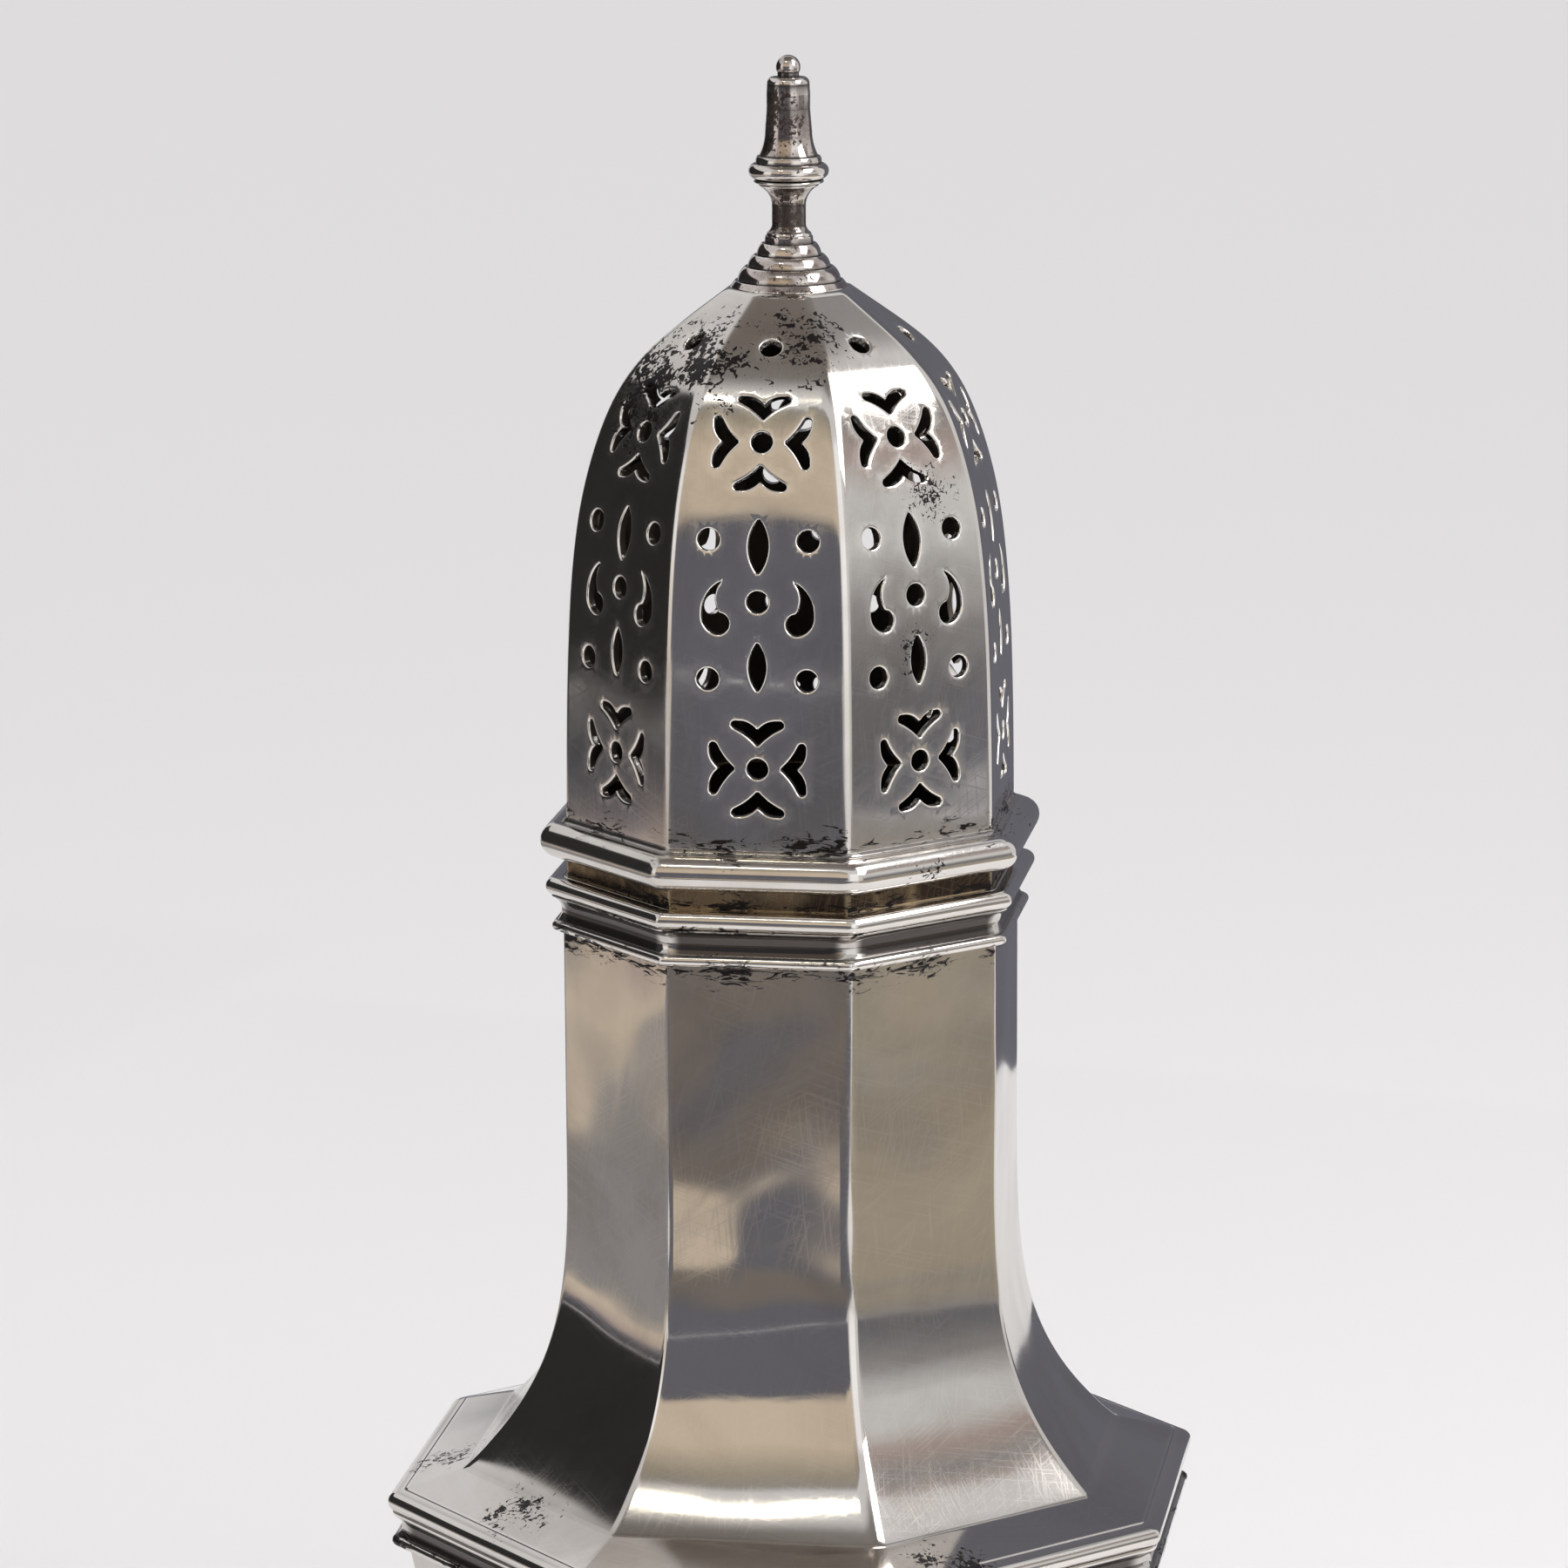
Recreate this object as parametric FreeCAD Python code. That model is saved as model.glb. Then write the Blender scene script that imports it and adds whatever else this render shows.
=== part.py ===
import FreeCAD, Part
import math
import os

# Octagonal silver sugar caster: a footed baluster body and a pierced pull-off cover.
# Millimetres and degrees. The origin is the centre of the resting face and +Z is up.
# An octagon is measured by its apothem, from the axis to the middle of a flat side.

vec = FreeCAD.Vector
origin = vec(0, 0, 0)
up = vec(0, 0, 1)

# Octagon and sheet
side_count = 8
half_side_angle = 180 / side_count
body_wall = 0.8
dome_wall = 0.8
sleeve_wall = 0.6
overrun = 1.0

# Foot
foot_apothem = 29.6
foot_top_apothem = 9.6
foot_top_land = 0.8
foot_flare_radius = 7.0
foot_flare_turn = 70
foot_tread = 3.2
foot_swell_radius = 8.0
foot_swell_turn = 52
foot_crease_radius = 1.5
foot_crease_turn = 60

# Collar between the foot and the bowl
collar_height = 3.2
collar_apothem = 12.4
collar_bow = 1.1

# Lower bowl
bowl_floor_apothem = 12.4
bowl_side_radius = 32.2
bowl_side_turn = 28
bowl_belly_radius = 16.5
bowl_belly_turn = 48

# Girth, where the bowl meets the shoulder
girth_apothem = 36.6
girth_skirt = 1.4

# Shoulder and neck
neck_apothem = 21.24
neck_height = 32.55
neck_hip_radius = 76.0
neck_hip_turn = 8
neck_flare_radius = 25.5
neck_flare_turn = 42
shoulder_crease_radius = 1.6
shoulder_crease_turn = 23

# Mouldings of the body: a bead, a fillet, a hollow and a lower bead
mouth_sizes = {
    "bead": 1.75,
    "bead_reach": 1.6,
    "fillet": 0.15,
    "fillet_reach": 1.1,
    "hollow": 2.4,
    "hollow_depth": 0.5,
    "lower_bead": 1.05,
    "lower_reach": 1.05,
    "fall": 0.0,
}
girth_sizes = {
    "bead": 1.9,
    "bead_reach": 1.65,
    "fillet": 0.4,
    "fillet_reach": 1.2,
    "hollow": 2.1,
    "hollow_depth": 0.5,
    "lower_bead": 1.0,
    "lower_reach": 1.3,
    "fall": 0.3,
}
foot_rim_base_bead = 1.9
foot_rim_base_reach = 2.2
foot_rim_hollow = 0.9
foot_rim_hollow_depth = 0.25
foot_rim_top_bead = 0.8
foot_rim_top_reach = 1.2

# Cover: sleeve, band and rim moulding
sleeve_clearance = 0.1
sleeve_depth = 9.5
sleeve_lead = 0.3
band_height = 2.0
band_land = 0.45
cover_bead = 3.4
cover_reach = 23.35
cover_cove = 0.48
cover_fillet = 0.15

# Dome
dome_apothem = 20.88
dome_base_radius = 535.0
dome_base_turn = 1.6
dome_side_radius = 150.0
dome_side_turn = 4.7
dome_shoulder_radius = 48.5
dome_shoulder_turn = 15
dome_crown_radius = 17.0
dome_crown_turn = 31.5
dome_crown_run = 6.9

# Piercings, placed by their distance up the panel from the dome's base
round_hole_radius = 1.04
low_cross_rise = 7.9
high_cross_rise = 39.0
cross_reach = 4.65
cross_hole_radius = 1.0
low_pair_rise = 16.45
high_pair_rise = 29.7
pair_offset = 4.74
low_lens_rise = 17.65
low_lens_length = 4.8
low_lens_width = 1.65
high_lens_rise = 29.1
high_lens_length = 5.35
high_lens_width = 1.9
eye_rise = 23.85
comma_rise = 20.7
comma_height = 5.1
comma_offset = 3.8
top_hole_rise = 49.1

# Across and outward shares of the cross's reach, and the bow of the edge that leads to each
wing_shares = [
    (0.00, 0.50, 0.0),
    (0.48, 0.81, 0.0),
    (0.46, 0.98, 0.08),
    (0.00, 0.87, 0.0),
    (-0.46, 0.98, 0.0),
    (-0.48, 0.81, 0.08),
]

# Outward and upward shares of the comma's height, and the bow of the edge that leads to each
comma_shares = [
    (-0.07, 1.00, 0.11),
    (-0.03, 0.40, -0.11),
    (-0.21, 0.20, 0.06),
    (0.00, 0.00, 0.06),
    (0.30, 0.38, 0.10),
]

# Finial: a stepped boss on the crown and a turned knop above it
boss_radius = 5.72
boss_height = 4.9
knop_radius = 3.96
knop_height = 15.7
ball_radius = 1.17
ball_lift = 0.45
peg_radius = 0.9
peg_clearance = 0.05
peg_end = 0.6

# Radius and height shares of each turned piece from its foot up, and the bow of each edge
boss_shares = [
    (1.00, 0.00, 0.0),
    (0.915, 0.13, 0.0),
    (0.87, 0.12, 0.0),
    (0.745, 0.40, 0.03),
    (0.70, 0.39, 0.0),
    (0.59, 0.63, 0.025),
    (0.545, 0.62, 0.0),
    (0.46, 0.86, 0.02),
    (0.415, 0.85, 0.0),
    (0.40, 1.00, 0.0),
]
knop_shares = [
    (0.545, 0.00, 0.0),
    (0.53, 0.02, 0.01),
    (0.412, 0.065, -0.02),
    (0.412, 0.19, 0.0),
    (0.72, 0.308, -0.075),
    (0.725, 0.32, 0.01),
    (0.70, 0.323, 0.0),
    (0.84, 0.327, 0.0),
    (0.84, 0.342, 0.01),
    (0.80, 0.35, 0.0),
    (0.80, 0.446, 0.175),
    (0.77, 0.488, 0.015),
    (0.715, 0.492, 0.0),
    (0.57, 0.64, -0.035),
    (0.525, 0.78, 0.0),
    (0.53, 0.87, 0.0),
    (0.515, 0.925, 0.0),
    (0.43, 0.968, 0.03),
    (0.26, 0.975, 0.0),
    (0.26, 1.00, 0.0),
]


# Moves of a path in the plane of apothem and height
def run(length):
    return ("run", length)


def run_to(apothem):
    return ("run_to", apothem)


def bend(radius, turn):
    return ("bend", radius, turn)


# A heading is 0 going up, 90 going in towards the axis and 180 going down
def shifted(point, heading, distance):
    angle = math.radians(heading)
    return point + vec(-math.sin(angle), 0, math.cos(angle)) * distance


def follow(point, heading, move, inset):
    # One move along the path that lies the inset to the left of the drawn one
    if move[0] == "bend":
        radius, turn = move[1:]
        side = math.copysign(90, turn)
        true_radius = radius - inset * math.copysign(1, turn)
        centre = shifted(point, heading + side, true_radius)
        middle = shifted(centre, heading + turn / 2 - side, true_radius)
        end = shifted(centre, heading + turn - side, true_radius)
        return Part.Arc(point, middle, end).toShape(), end, heading + turn
    length = move[1]
    if move[0] == "run_to":
        length = (point.x - move[1]) / math.sin(math.radians(heading))
    end = shifted(point, heading, length)
    return Part.LineSegment(point, end).toShape(), end, heading


def trace(start, heading, moves, inset=0):
    point = shifted(start, heading + 90, inset)
    edges = []
    for move in moves:
        edge, point, heading = follow(point, heading, move, inset)
        edges.append(edge)
    return edges, point


def along(start, heading, moves, distance):
    # The point and heading of the drawn path at a distance from its start
    point = start
    for move in moves:
        length = move[1]
        if move[0] == "bend":
            length = move[1] * math.radians(abs(move[2]))
        if distance <= length:
            share = distance / length
            part = run(distance)
            if move[0] == "bend":
                part = bend(move[1], move[2] * share)
            edge, point, heading = follow(point, heading, part, 0)
            return point, heading
        distance -= length
        edge, point, heading = follow(point, heading, move, 0)
    return point, heading


def polyline(points):
    return [Part.LineSegment(a, b).toShape() for a, b in zip(points, points[1:])]


def face_of(edges):
    return Part.Face(Part.Wire(Part.__sortEdges__(edges)))


def bowed_face(points, flat=False):
    # Each point leads with the bow of the edge before it, outward from a path drawn upwards
    across = vec(1, 0, 0)
    along_axis = vec(0, 1, 0) if flat else up
    edges = []
    for first, second in zip(points[-1:] + points[:-1], points):
        start = across * first[0] + along_axis * first[1]
        end = across * second[0] + along_axis * second[1]
        bow = second[2]
        if bow == 0:
            edges.append(Part.LineSegment(start, end).toShape())
            continue
        chord = end - start
        outward = across * chord.dot(along_axis) - along_axis * chord.dot(across)
        middle = (start + end) * 0.5 + outward.normalize() * bow
        edges.append(Part.Arc(start, middle, end).toShape())
    return face_of(edges)


# One side of an octagonal piece, cut from a straight extrusion by its two mitre planes
def panel_of(face):
    box = face.BoundBox
    length = box.XMax + overrun
    half_width = length * math.tan(math.radians(half_side_angle))
    slab = face.extrude(vec(0, 2 * half_width, 0))
    slab.translate(vec(0, -half_width, 0))
    floor = box.ZMin - overrun
    corners = [
        vec(0, 0, floor),
        vec(length, -half_width, floor),
        vec(length, half_width, floor),
        vec(0, 0, floor),
    ]
    wedge = Part.Face(Part.makePolygon(corners)).extrude(up * (box.ZLength + 2 * overrun))
    return slab.common(wedge)


def ring_of(panel):
    sides = []
    for index in range(side_count):
        side = panel.copy()
        side.rotate(origin, up, index * 360 / side_count)
        sides.append(side)
    return sides[0].multiFuse(sides[1:]).removeSplitter().Solids[0]


def octagonal(face):
    return ring_of(panel_of(face))


def turned(shares, radius, height, base):
    # A piece turned about the axis from shares of its radius and height
    points = [(0, base, 0)]
    for radius_share, height_share, bow_share in shares:
        points.append((radius * radius_share, base + height * height_share, radius * bow_share))
    if shares[-1][0] > 0:
        points.append((0, base + height * shares[-1][1], 0))
    return bowed_face(points).revolve(origin, up, 360)


def tube(inner, outer, bottom, top):
    points = [(inner, bottom, 0), (outer, bottom, 0), (outer, top, 0), (inner, top, 0)]
    return octagonal(bowed_face(points))


# Paths of the sheet work
def foot_moves(edge_apothem):
    return [
        run(foot_top_land),
        bend(foot_flare_radius, foot_flare_turn),
        run(foot_tread),
        bend(foot_swell_radius, -foot_swell_turn),
        bend(foot_crease_radius, foot_crease_turn),
        run_to(edge_apothem),
    ]


def bowl_moves(edge_apothem):
    return [
        bend(bowl_side_radius, -bowl_side_turn),
        bend(bowl_belly_radius, -bowl_belly_turn),
        run_to(edge_apothem),
    ]


def neck_moves(edge_apothem):
    return [
        run(neck_height),
        bend(neck_hip_radius, neck_hip_turn),
        bend(neck_flare_radius, neck_flare_turn),
        bend(shoulder_crease_radius, shoulder_crease_turn),
        run_to(edge_apothem),
    ]


dome_moves = [
    bend(dome_base_radius, dome_base_turn),
    bend(dome_side_radius, dome_side_turn),
    bend(dome_shoulder_radius, dome_shoulder_turn),
    bend(dome_crown_radius, dome_crown_turn),
    run(dome_crown_run),
]


def drop_of(start_apothem, moves):
    edges, end = trace(vec(start_apothem, 0, 0), 180, moves)
    return -end.z


def moulding_height(sizes):
    bead_heights = sizes["bead"] + sizes["lower_bead"]
    return bead_heights + sizes["fillet"] + sizes["hollow"] + sizes["fall"]


# Levels, worked out from the floor up
foot_rim_height = foot_rim_base_bead + foot_rim_hollow + foot_rim_top_bead
foot_top = foot_rim_height + drop_of(foot_top_apothem, foot_moves(foot_apothem))
bowl_bottom = foot_top + collar_height
bowl_top = bowl_bottom + drop_of(girth_apothem, bowl_moves(bowl_floor_apothem))
shoulder_edge = bowl_top + girth_skirt
mouth = shoulder_edge + drop_of(neck_apothem, neck_moves(girth_apothem))
band_top = mouth + band_height
dome_base = band_top + cover_bead + cover_cove
dome_start = vec(dome_apothem, 0, dome_base)
crown = trace(dome_start, 0, dome_moves)[1].z
knop_base = crown + boss_height
sleeve_apothem = neck_apothem - body_wall - sleeve_clearance


# Body
def foot_shell():
    start = vec(foot_top_apothem, 0, foot_top)
    outer, outer_end = trace(start, 180, foot_moves(foot_apothem))
    inner, inner_end = trace(start, 180, foot_moves(foot_apothem - body_wall), -body_wall)
    skirt = polyline([outer_end, vec(outer_end.x, 0, 0), vec(inner_end.x, 0, 0), inner_end])
    rim = polyline([shifted(start, 90, body_wall), start])
    return octagonal(face_of(outer + skirt + inner + rim))


def foot_rim_moulding():
    seat = foot_apothem
    base_nose = seat + foot_rim_base_reach - foot_rim_base_bead / 2
    hollow_top = foot_rim_base_bead + foot_rim_hollow
    top_nose = seat + foot_rim_top_reach - foot_rim_top_bead / 2
    return octagonal(bowed_face([
        (seat, 0, 0),
        (base_nose, 0, 0),
        (base_nose, foot_rim_base_bead, foot_rim_base_bead / 2),
        (top_nose, hollow_top, -foot_rim_hollow_depth),
        (top_nose, foot_rim_height, foot_rim_top_bead / 2),
        (seat, foot_rim_height, 0),
    ]))


def stem_collar():
    bore = foot_top_apothem - body_wall
    return octagonal(bowed_face([
        (bore, foot_top, 0),
        (collar_apothem, foot_top, 0),
        (collar_apothem, bowl_bottom, collar_bow),
        (bore, bowl_bottom, 0),
    ]))


def lower_bowl():
    start = vec(girth_apothem, 0, bowl_top)
    outer, outer_end = trace(start, 180, bowl_moves(bowl_floor_apothem))
    inner, inner_end = trace(start, 180, bowl_moves(bowl_floor_apothem), -body_wall)
    floor = polyline([outer_end, vec(0, 0, outer_end.z), vec(0, 0, inner_end.z), inner_end])
    rim = polyline([shifted(start, 90, body_wall), start])
    return octagonal(face_of(outer + floor + inner + rim))


def neck_shell():
    start = vec(neck_apothem, 0, mouth)
    outer, outer_end = trace(start, 180, neck_moves(girth_apothem))
    inner, inner_end = trace(start, 180, neck_moves(girth_apothem - body_wall), -body_wall)
    seat = [vec(outer_end.x, 0, bowl_top), vec(inner_end.x, 0, bowl_top)]
    skirt = polyline([outer_end] + seat + [inner_end])
    rim = polyline([shifted(start, 90, body_wall), start])
    return octagonal(face_of(outer + skirt + inner + rim))


def applied_moulding(seat, top, sizes):
    bottom = top - moulding_height(sizes)
    lower_nose = seat + sizes["lower_reach"] - sizes["lower_bead"] / 2
    bead_nose = seat + sizes["bead_reach"] - sizes["bead"] / 2
    lower_top = bottom + sizes["lower_bead"]
    hollow_top = lower_top + sizes["hollow"]
    fillet_top = hollow_top + sizes["fillet"]
    return octagonal(bowed_face([
        (seat, bottom, 0),
        (lower_nose, bottom, 0),
        (lower_nose, lower_top, sizes["lower_bead"] / 2),
        (seat + sizes["fillet_reach"], hollow_top, -sizes["hollow_depth"]),
        (seat + sizes["fillet_reach"], fillet_top, 0),
        (bead_nose, fillet_top, 0),
        (bead_nose, fillet_top + sizes["bead"], sizes["bead"] / 2),
        (seat, top, 0),
    ]))


def girth_moulding():
    return applied_moulding(girth_apothem, shoulder_edge, girth_sizes)


def mouth_moulding():
    return applied_moulding(neck_apothem, mouth, mouth_sizes)


# Cover
def cover_sleeve():
    inner = sleeve_apothem - sleeve_wall
    bottom = mouth - sleeve_depth
    return octagonal(bowed_face([
        (inner, bottom, 0),
        (sleeve_apothem - sleeve_lead, bottom, 0),
        (sleeve_apothem, bottom + sleeve_lead, 0),
        (sleeve_apothem, dome_base, 0),
        (inner, dome_base, 0),
    ]))


def cover_band():
    return tube(sleeve_apothem, sleeve_apothem + band_land, mouth, band_top)


def cover_rim_moulding():
    nose = cover_reach - cover_bead / 2
    bead_top = band_top + cover_bead
    ledge = dome_apothem + cover_fillet
    hollow = cover_cove * (1 - math.sqrt(0.5))
    return octagonal(bowed_face([
        (sleeve_apothem, band_top, 0),
        (nose, band_top, 0),
        (nose, bead_top, cover_bead / 2),
        (ledge + cover_cove, bead_top, 0),
        (ledge, dome_base, -hollow),
        (sleeve_apothem, dome_base, 0),
    ]))


def circle(across, rise, radius):
    return Part.Face(Part.Wire(Part.makeCircle(radius, vec(across, rise, 0))))


def lens(length, width):
    half = length / 2
    return bowed_face([(0, -half, width / 2), (0, half, width / 2)], flat=True)


def wing(quarter_turns):
    points = [(a * cross_reach, b * cross_reach, bow * cross_reach) for a, b, bow in wing_shares]
    face = bowed_face(points, flat=True)
    face.rotate(origin, up, 90 * quarter_turns)
    return face


def comma():
    points = []
    for across, rise, bow in comma_shares:
        reach = comma_offset + across * comma_height
        points.append((reach, rise * comma_height, bow * comma_height))
    return bowed_face(points, flat=True)


def punch(face, rise):
    # A tool that cuts the outline square through the panel where the rise is reached
    point, heading = along(dome_start, 0, dome_moves, rise)
    outward = shifted(origin, heading - 90, 1)
    upward = shifted(origin, heading, 1)
    tool = face.extrude(up * -(dome_wall + 2 * overrun))
    tool.translate(up * overrun)
    tool.Placement = FreeCAD.Placement(FreeCAD.Matrix(
        0, upward.x, outward.x, point.x,
        1, upward.y, outward.y, point.y,
        0, upward.z, outward.z, point.z,
        0, 0, 0, 1,
    )) * tool.Placement
    return tool


def mirrored(face):
    return face.mirror(origin, vec(1, 0, 0))


def piercings():
    outlines = [(circle(0, 0, round_hole_radius), rise) for rise in (top_hole_rise, eye_rise)]
    for rise in (low_cross_rise, high_cross_rise):
        outlines.append((circle(0, 0, cross_hole_radius), rise))
        outlines.extend((wing(quarter_turns), rise) for quarter_turns in range(4))
    for rise in (low_pair_rise, high_pair_rise):
        for offset in (-pair_offset, pair_offset):
            outlines.append((circle(offset, 0, round_hole_radius), rise))
    outlines.append((lens(low_lens_length, low_lens_width), low_lens_rise))
    outlines.append((lens(high_lens_length, high_lens_width), high_lens_rise))
    outlines.append((comma(), comma_rise))
    outlines.append((mirrored(comma()), comma_rise))
    return [punch(face, rise) for face, rise in outlines]


def cover_dome():
    outer, outer_end = trace(dome_start, 0, dome_moves)
    inner, inner_end = trace(dome_start, 0, dome_moves, dome_wall)
    crown_edges = polyline([outer_end, vec(0, 0, outer_end.z), vec(0, 0, inner_end.z), inner_end])
    rim = polyline([shifted(dome_start, 90, dome_wall), dome_start])
    panel = panel_of(face_of(outer + crown_edges + inner + rim))
    dome = ring_of(panel.cut(Part.makeCompound(piercings())))
    peg_hole = Part.makeCylinder(peg_radius + peg_clearance, crown, origin)
    return dome.cut(peg_hole)


def finial_boss():
    boss = turned(boss_shares, boss_radius, boss_height, crown)
    hole_base = up * (crown - overrun)
    peg_hole = Part.makeCylinder(peg_radius + peg_clearance, boss_height + 2 * overrun, hole_base)
    return boss.cut(peg_hole)


def finial_knop():
    knop = turned(knop_shares, knop_radius, knop_height, knop_base)
    peg_length = boss_height + dome_wall + peg_end
    peg = Part.makeCylinder(peg_radius, peg_length, up * (knop_base - peg_length))
    ball = Part.makeSphere(ball_radius, up * (knop_base + knop_height + ball_lift))
    return knop.fuse([peg, ball]).removeSplitter()


parts = {
    "foot_rim_moulding": foot_rim_moulding,
    "foot_shell": foot_shell,
    "stem_collar": stem_collar,
    "lower_bowl": lower_bowl,
    "girth_moulding": girth_moulding,
    "neck_shell": neck_shell,
    "mouth_moulding": mouth_moulding,
    "cover_sleeve": cover_sleeve,
    "cover_band": cover_band,
    "cover_rim_moulding": cover_rim_moulding,
    "cover_dome": cover_dome,
    "finial_boss": finial_boss,
    "finial_knop": finial_knop,
}

os.makedirs("parts", exist_ok=True)
for name, make in parts.items():
    shape = make()
    shape.exportStep("parts/" + name + ".step")
    box = shape.BoundBox
    print(name, "valid" if shape.isValid() else "INVALID", len(shape.Solids), "solid, volume",
          round(shape.Volume, 1), "height", round(box.ZMin, 2), "to", round(box.ZMax, 2))
print("mouth at", round(mouth, 2), "crown at", round(crown, 2))
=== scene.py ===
# Antique silver sugar caster: an octagonal baluster body under a pierced cover
import math

import bmesh
import bpy
import numpy as np
from mathutils import Matrix, Vector
from mathutils.geometry import delaunay_2d_cdt


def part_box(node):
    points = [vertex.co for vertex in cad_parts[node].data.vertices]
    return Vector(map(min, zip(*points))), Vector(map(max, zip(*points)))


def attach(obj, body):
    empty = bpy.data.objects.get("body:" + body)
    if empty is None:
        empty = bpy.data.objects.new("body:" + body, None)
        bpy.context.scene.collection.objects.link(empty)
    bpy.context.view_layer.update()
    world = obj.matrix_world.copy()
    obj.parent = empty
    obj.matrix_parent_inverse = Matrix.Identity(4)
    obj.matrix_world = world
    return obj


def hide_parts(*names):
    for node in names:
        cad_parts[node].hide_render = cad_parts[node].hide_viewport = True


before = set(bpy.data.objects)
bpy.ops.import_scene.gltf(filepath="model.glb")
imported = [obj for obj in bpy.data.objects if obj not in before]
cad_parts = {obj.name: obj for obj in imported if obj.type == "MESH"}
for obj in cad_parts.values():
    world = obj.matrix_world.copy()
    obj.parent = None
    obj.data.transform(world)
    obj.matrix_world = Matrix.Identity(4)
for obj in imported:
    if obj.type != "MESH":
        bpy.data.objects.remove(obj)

# Shapes are worked out in millimetres and turned into metres when a mesh is made
mm = 0.001
sides = 8
sideTurn = 2 * math.pi / sides
halfSide = math.tan(math.pi / sides)
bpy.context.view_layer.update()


def levelsOf(node):
    low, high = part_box(node)
    return low.z / mm, high.z / mm


footTop = levelsOf("foot_shell")[1]
footRimTop = levelsOf("foot_rim_moulding")[1]
bowlBottom, bowlTop = levelsOf("lower_bowl")
mouth = levelsOf("neck_shell")[1]
shoulderEdge = levelsOf("girth_moulding")[1]
sleeveBottom, domeBase = levelsOf("cover_sleeve")
bandTop = levelsOf("cover_band")[1]
crown = levelsOf("cover_dome")[1]
bossTop = levelsOf("finial_boss")[1]
print("stage: frame loaded, mouth at", round(mouth, 2), "crown at", round(crown, 2))


# Paths: heading 0 goes up, 90 in towards the axis and 180 down
def tracePath(start, heading, moves, finest=2.5):
    points = [start]
    for kind, size, *turn in moves:
        a, z = points[-1]
        angle = math.radians(heading)
        if kind == "bend":
            steps = max(2, round(abs(turn[0]) / finest))
            side = math.copysign(1, turn[0])
            for step in range(1, steps + 1):
                later = angle + math.radians(turn[0]) * step / steps
                points.append((
                    a + side * size * (math.cos(later) - math.cos(angle)),
                    z + side * size * (math.sin(later) - math.sin(angle)),
                ))
            heading += turn[0]
            continue
        length = size
        if kind == "runTo":
            length = (a - size) / math.sin(angle)
        points.append((a - length * math.sin(angle), z + length * math.cos(angle)))
    return points


def offsetPath(points, distance):
    # The path moved to its left by the distance
    moved = []
    for index, point in enumerate(points):
        before = Vector(points[max(index - 1, 0)])
        after = Vector(points[min(index + 1, len(points) - 1)])
        along = (after - before).normalized()
        moved.append((point[0] - along.y * distance, point[1] + along.x * distance))
    return moved


def easedPath(points, reach, spacing=0.8):
    # Hand-raised metal has no sudden change of curve, so the joins of arcs are eased; the ends stay
    line = np.array(points)
    along = np.concatenate([[0], np.cumsum(np.hypot(*np.diff(line, axis=0).T))])
    spots = np.linspace(0, along[-1], round(along[-1] / spacing) + 1)
    for again in range(2):
        half = np.minimum(reach, np.minimum(spots, along[-1] - spots))
        wide = spots[:, None] + half[:, None] * np.linspace(-1, 1, 21)
        line = np.stack([np.interp(wide, along, line[:, axis]).mean(1) for axis in (0, 1)], 1)
        along = spots
    return [tuple(point) for point in line]


def bowed(points, steps=8):
    # A closed outline; each point leads with the bow of the edge before it
    outline = []
    for first, second in zip(points[-1:] + points[:-1], points):
        start, end, bow = Vector(first[:2]), Vector(second[:2]), second[2]
        chord = end - start
        if abs(bow) > 1e-6:
            out = Vector((chord.y, -chord.x)).normalized()
            radius = (chord.length / 2) ** 2 / (2 * bow) + bow / 2
            centre = (start + end) / 2 + out * (bow - radius)
            sweep = 2 * math.asin(max(-1, min(1, chord.length / 2 / radius)))
            for step in range(1, steps):
                arm = Matrix.Rotation(sweep * step / steps, 2) @ (start - centre)
                outline.append(tuple(centre + arm))
        outline.append(tuple(end))
    return outline


straightShare = 0.46  # the most of a straight that one rounded corner takes up


def soften(points, radius, closed=True, sharpest=14, steps=4):
    # Rounds each corner of a path that turns by more than the sharpest angle
    out = []
    last = len(points) - 1
    for index, point in enumerate(points):
        if not closed and index in (0, last):
            out.append(point)
            continue
        here = Vector(point)
        back = Vector(points[index - 1]) - here
        ahead = Vector(points[(index + 1) % len(points)]) - here
        turn = math.pi - back.angle(ahead, math.pi)
        if math.degrees(turn) < sharpest:
            out.append(point)
            continue
        reach = min(radius * math.tan(turn / 2), straightShare * back.length, straightShare * ahead.length)
        first, second = here + back.normalized() * reach, here + ahead.normalized() * reach
        for step in range(steps + 1):
            t = step / steps
            mixed = first * (1 - t) ** 2 + here * 2 * t * (1 - t) + second * t ** 2
            out.append(tuple(mixed))
    return out


def guard(points, gap, longest=4.0, closed=True):
    # Extra points near the ends of long runs keep them flat under smooth shading
    out = []
    count = len(points)
    for index in range(count if closed else count - 1):
        here, there = Vector(points[index]), Vector(points[(index + 1) % count])
        length = (there - here).length
        out.append(tuple(here))
        if length < 5 * gap:
            continue
        middles = [gap / length, 1 - gap / length]
        pieces = int(length // longest)
        middles[1:1] = [step / (pieces + 1) for step in range(1, pieces + 1)]
        out.extend(tuple(here.lerp(there, t)) for t in middles)
    if not closed:
        out.append(tuple(points[-1]))
    return out


# Level sections, each cut from eight flats joined by rounded arrises
flatSteps = 7
arcSteps = 6
edgeGap = 0.15  # the first and last points of a flat keep its shading level up to the arris
mostArris = 0.3  # the softest an arris may be, as a share of the apothem

# How soft each corner is against the others, from the one right of the front panel round
cornerShares = [1.5, 1.0, 1.2, 0.9, 1.1, 1.3, 1.0, 0.85]


def panelAxes(side):
    # Which way a panel faces, and the way along it; the first faces the front
    angle = math.radians(360 / sides * side - 90)
    return Vector((math.cos(angle), math.sin(angle), 0)), Vector((-math.sin(angle), math.cos(angle), 0))


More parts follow.
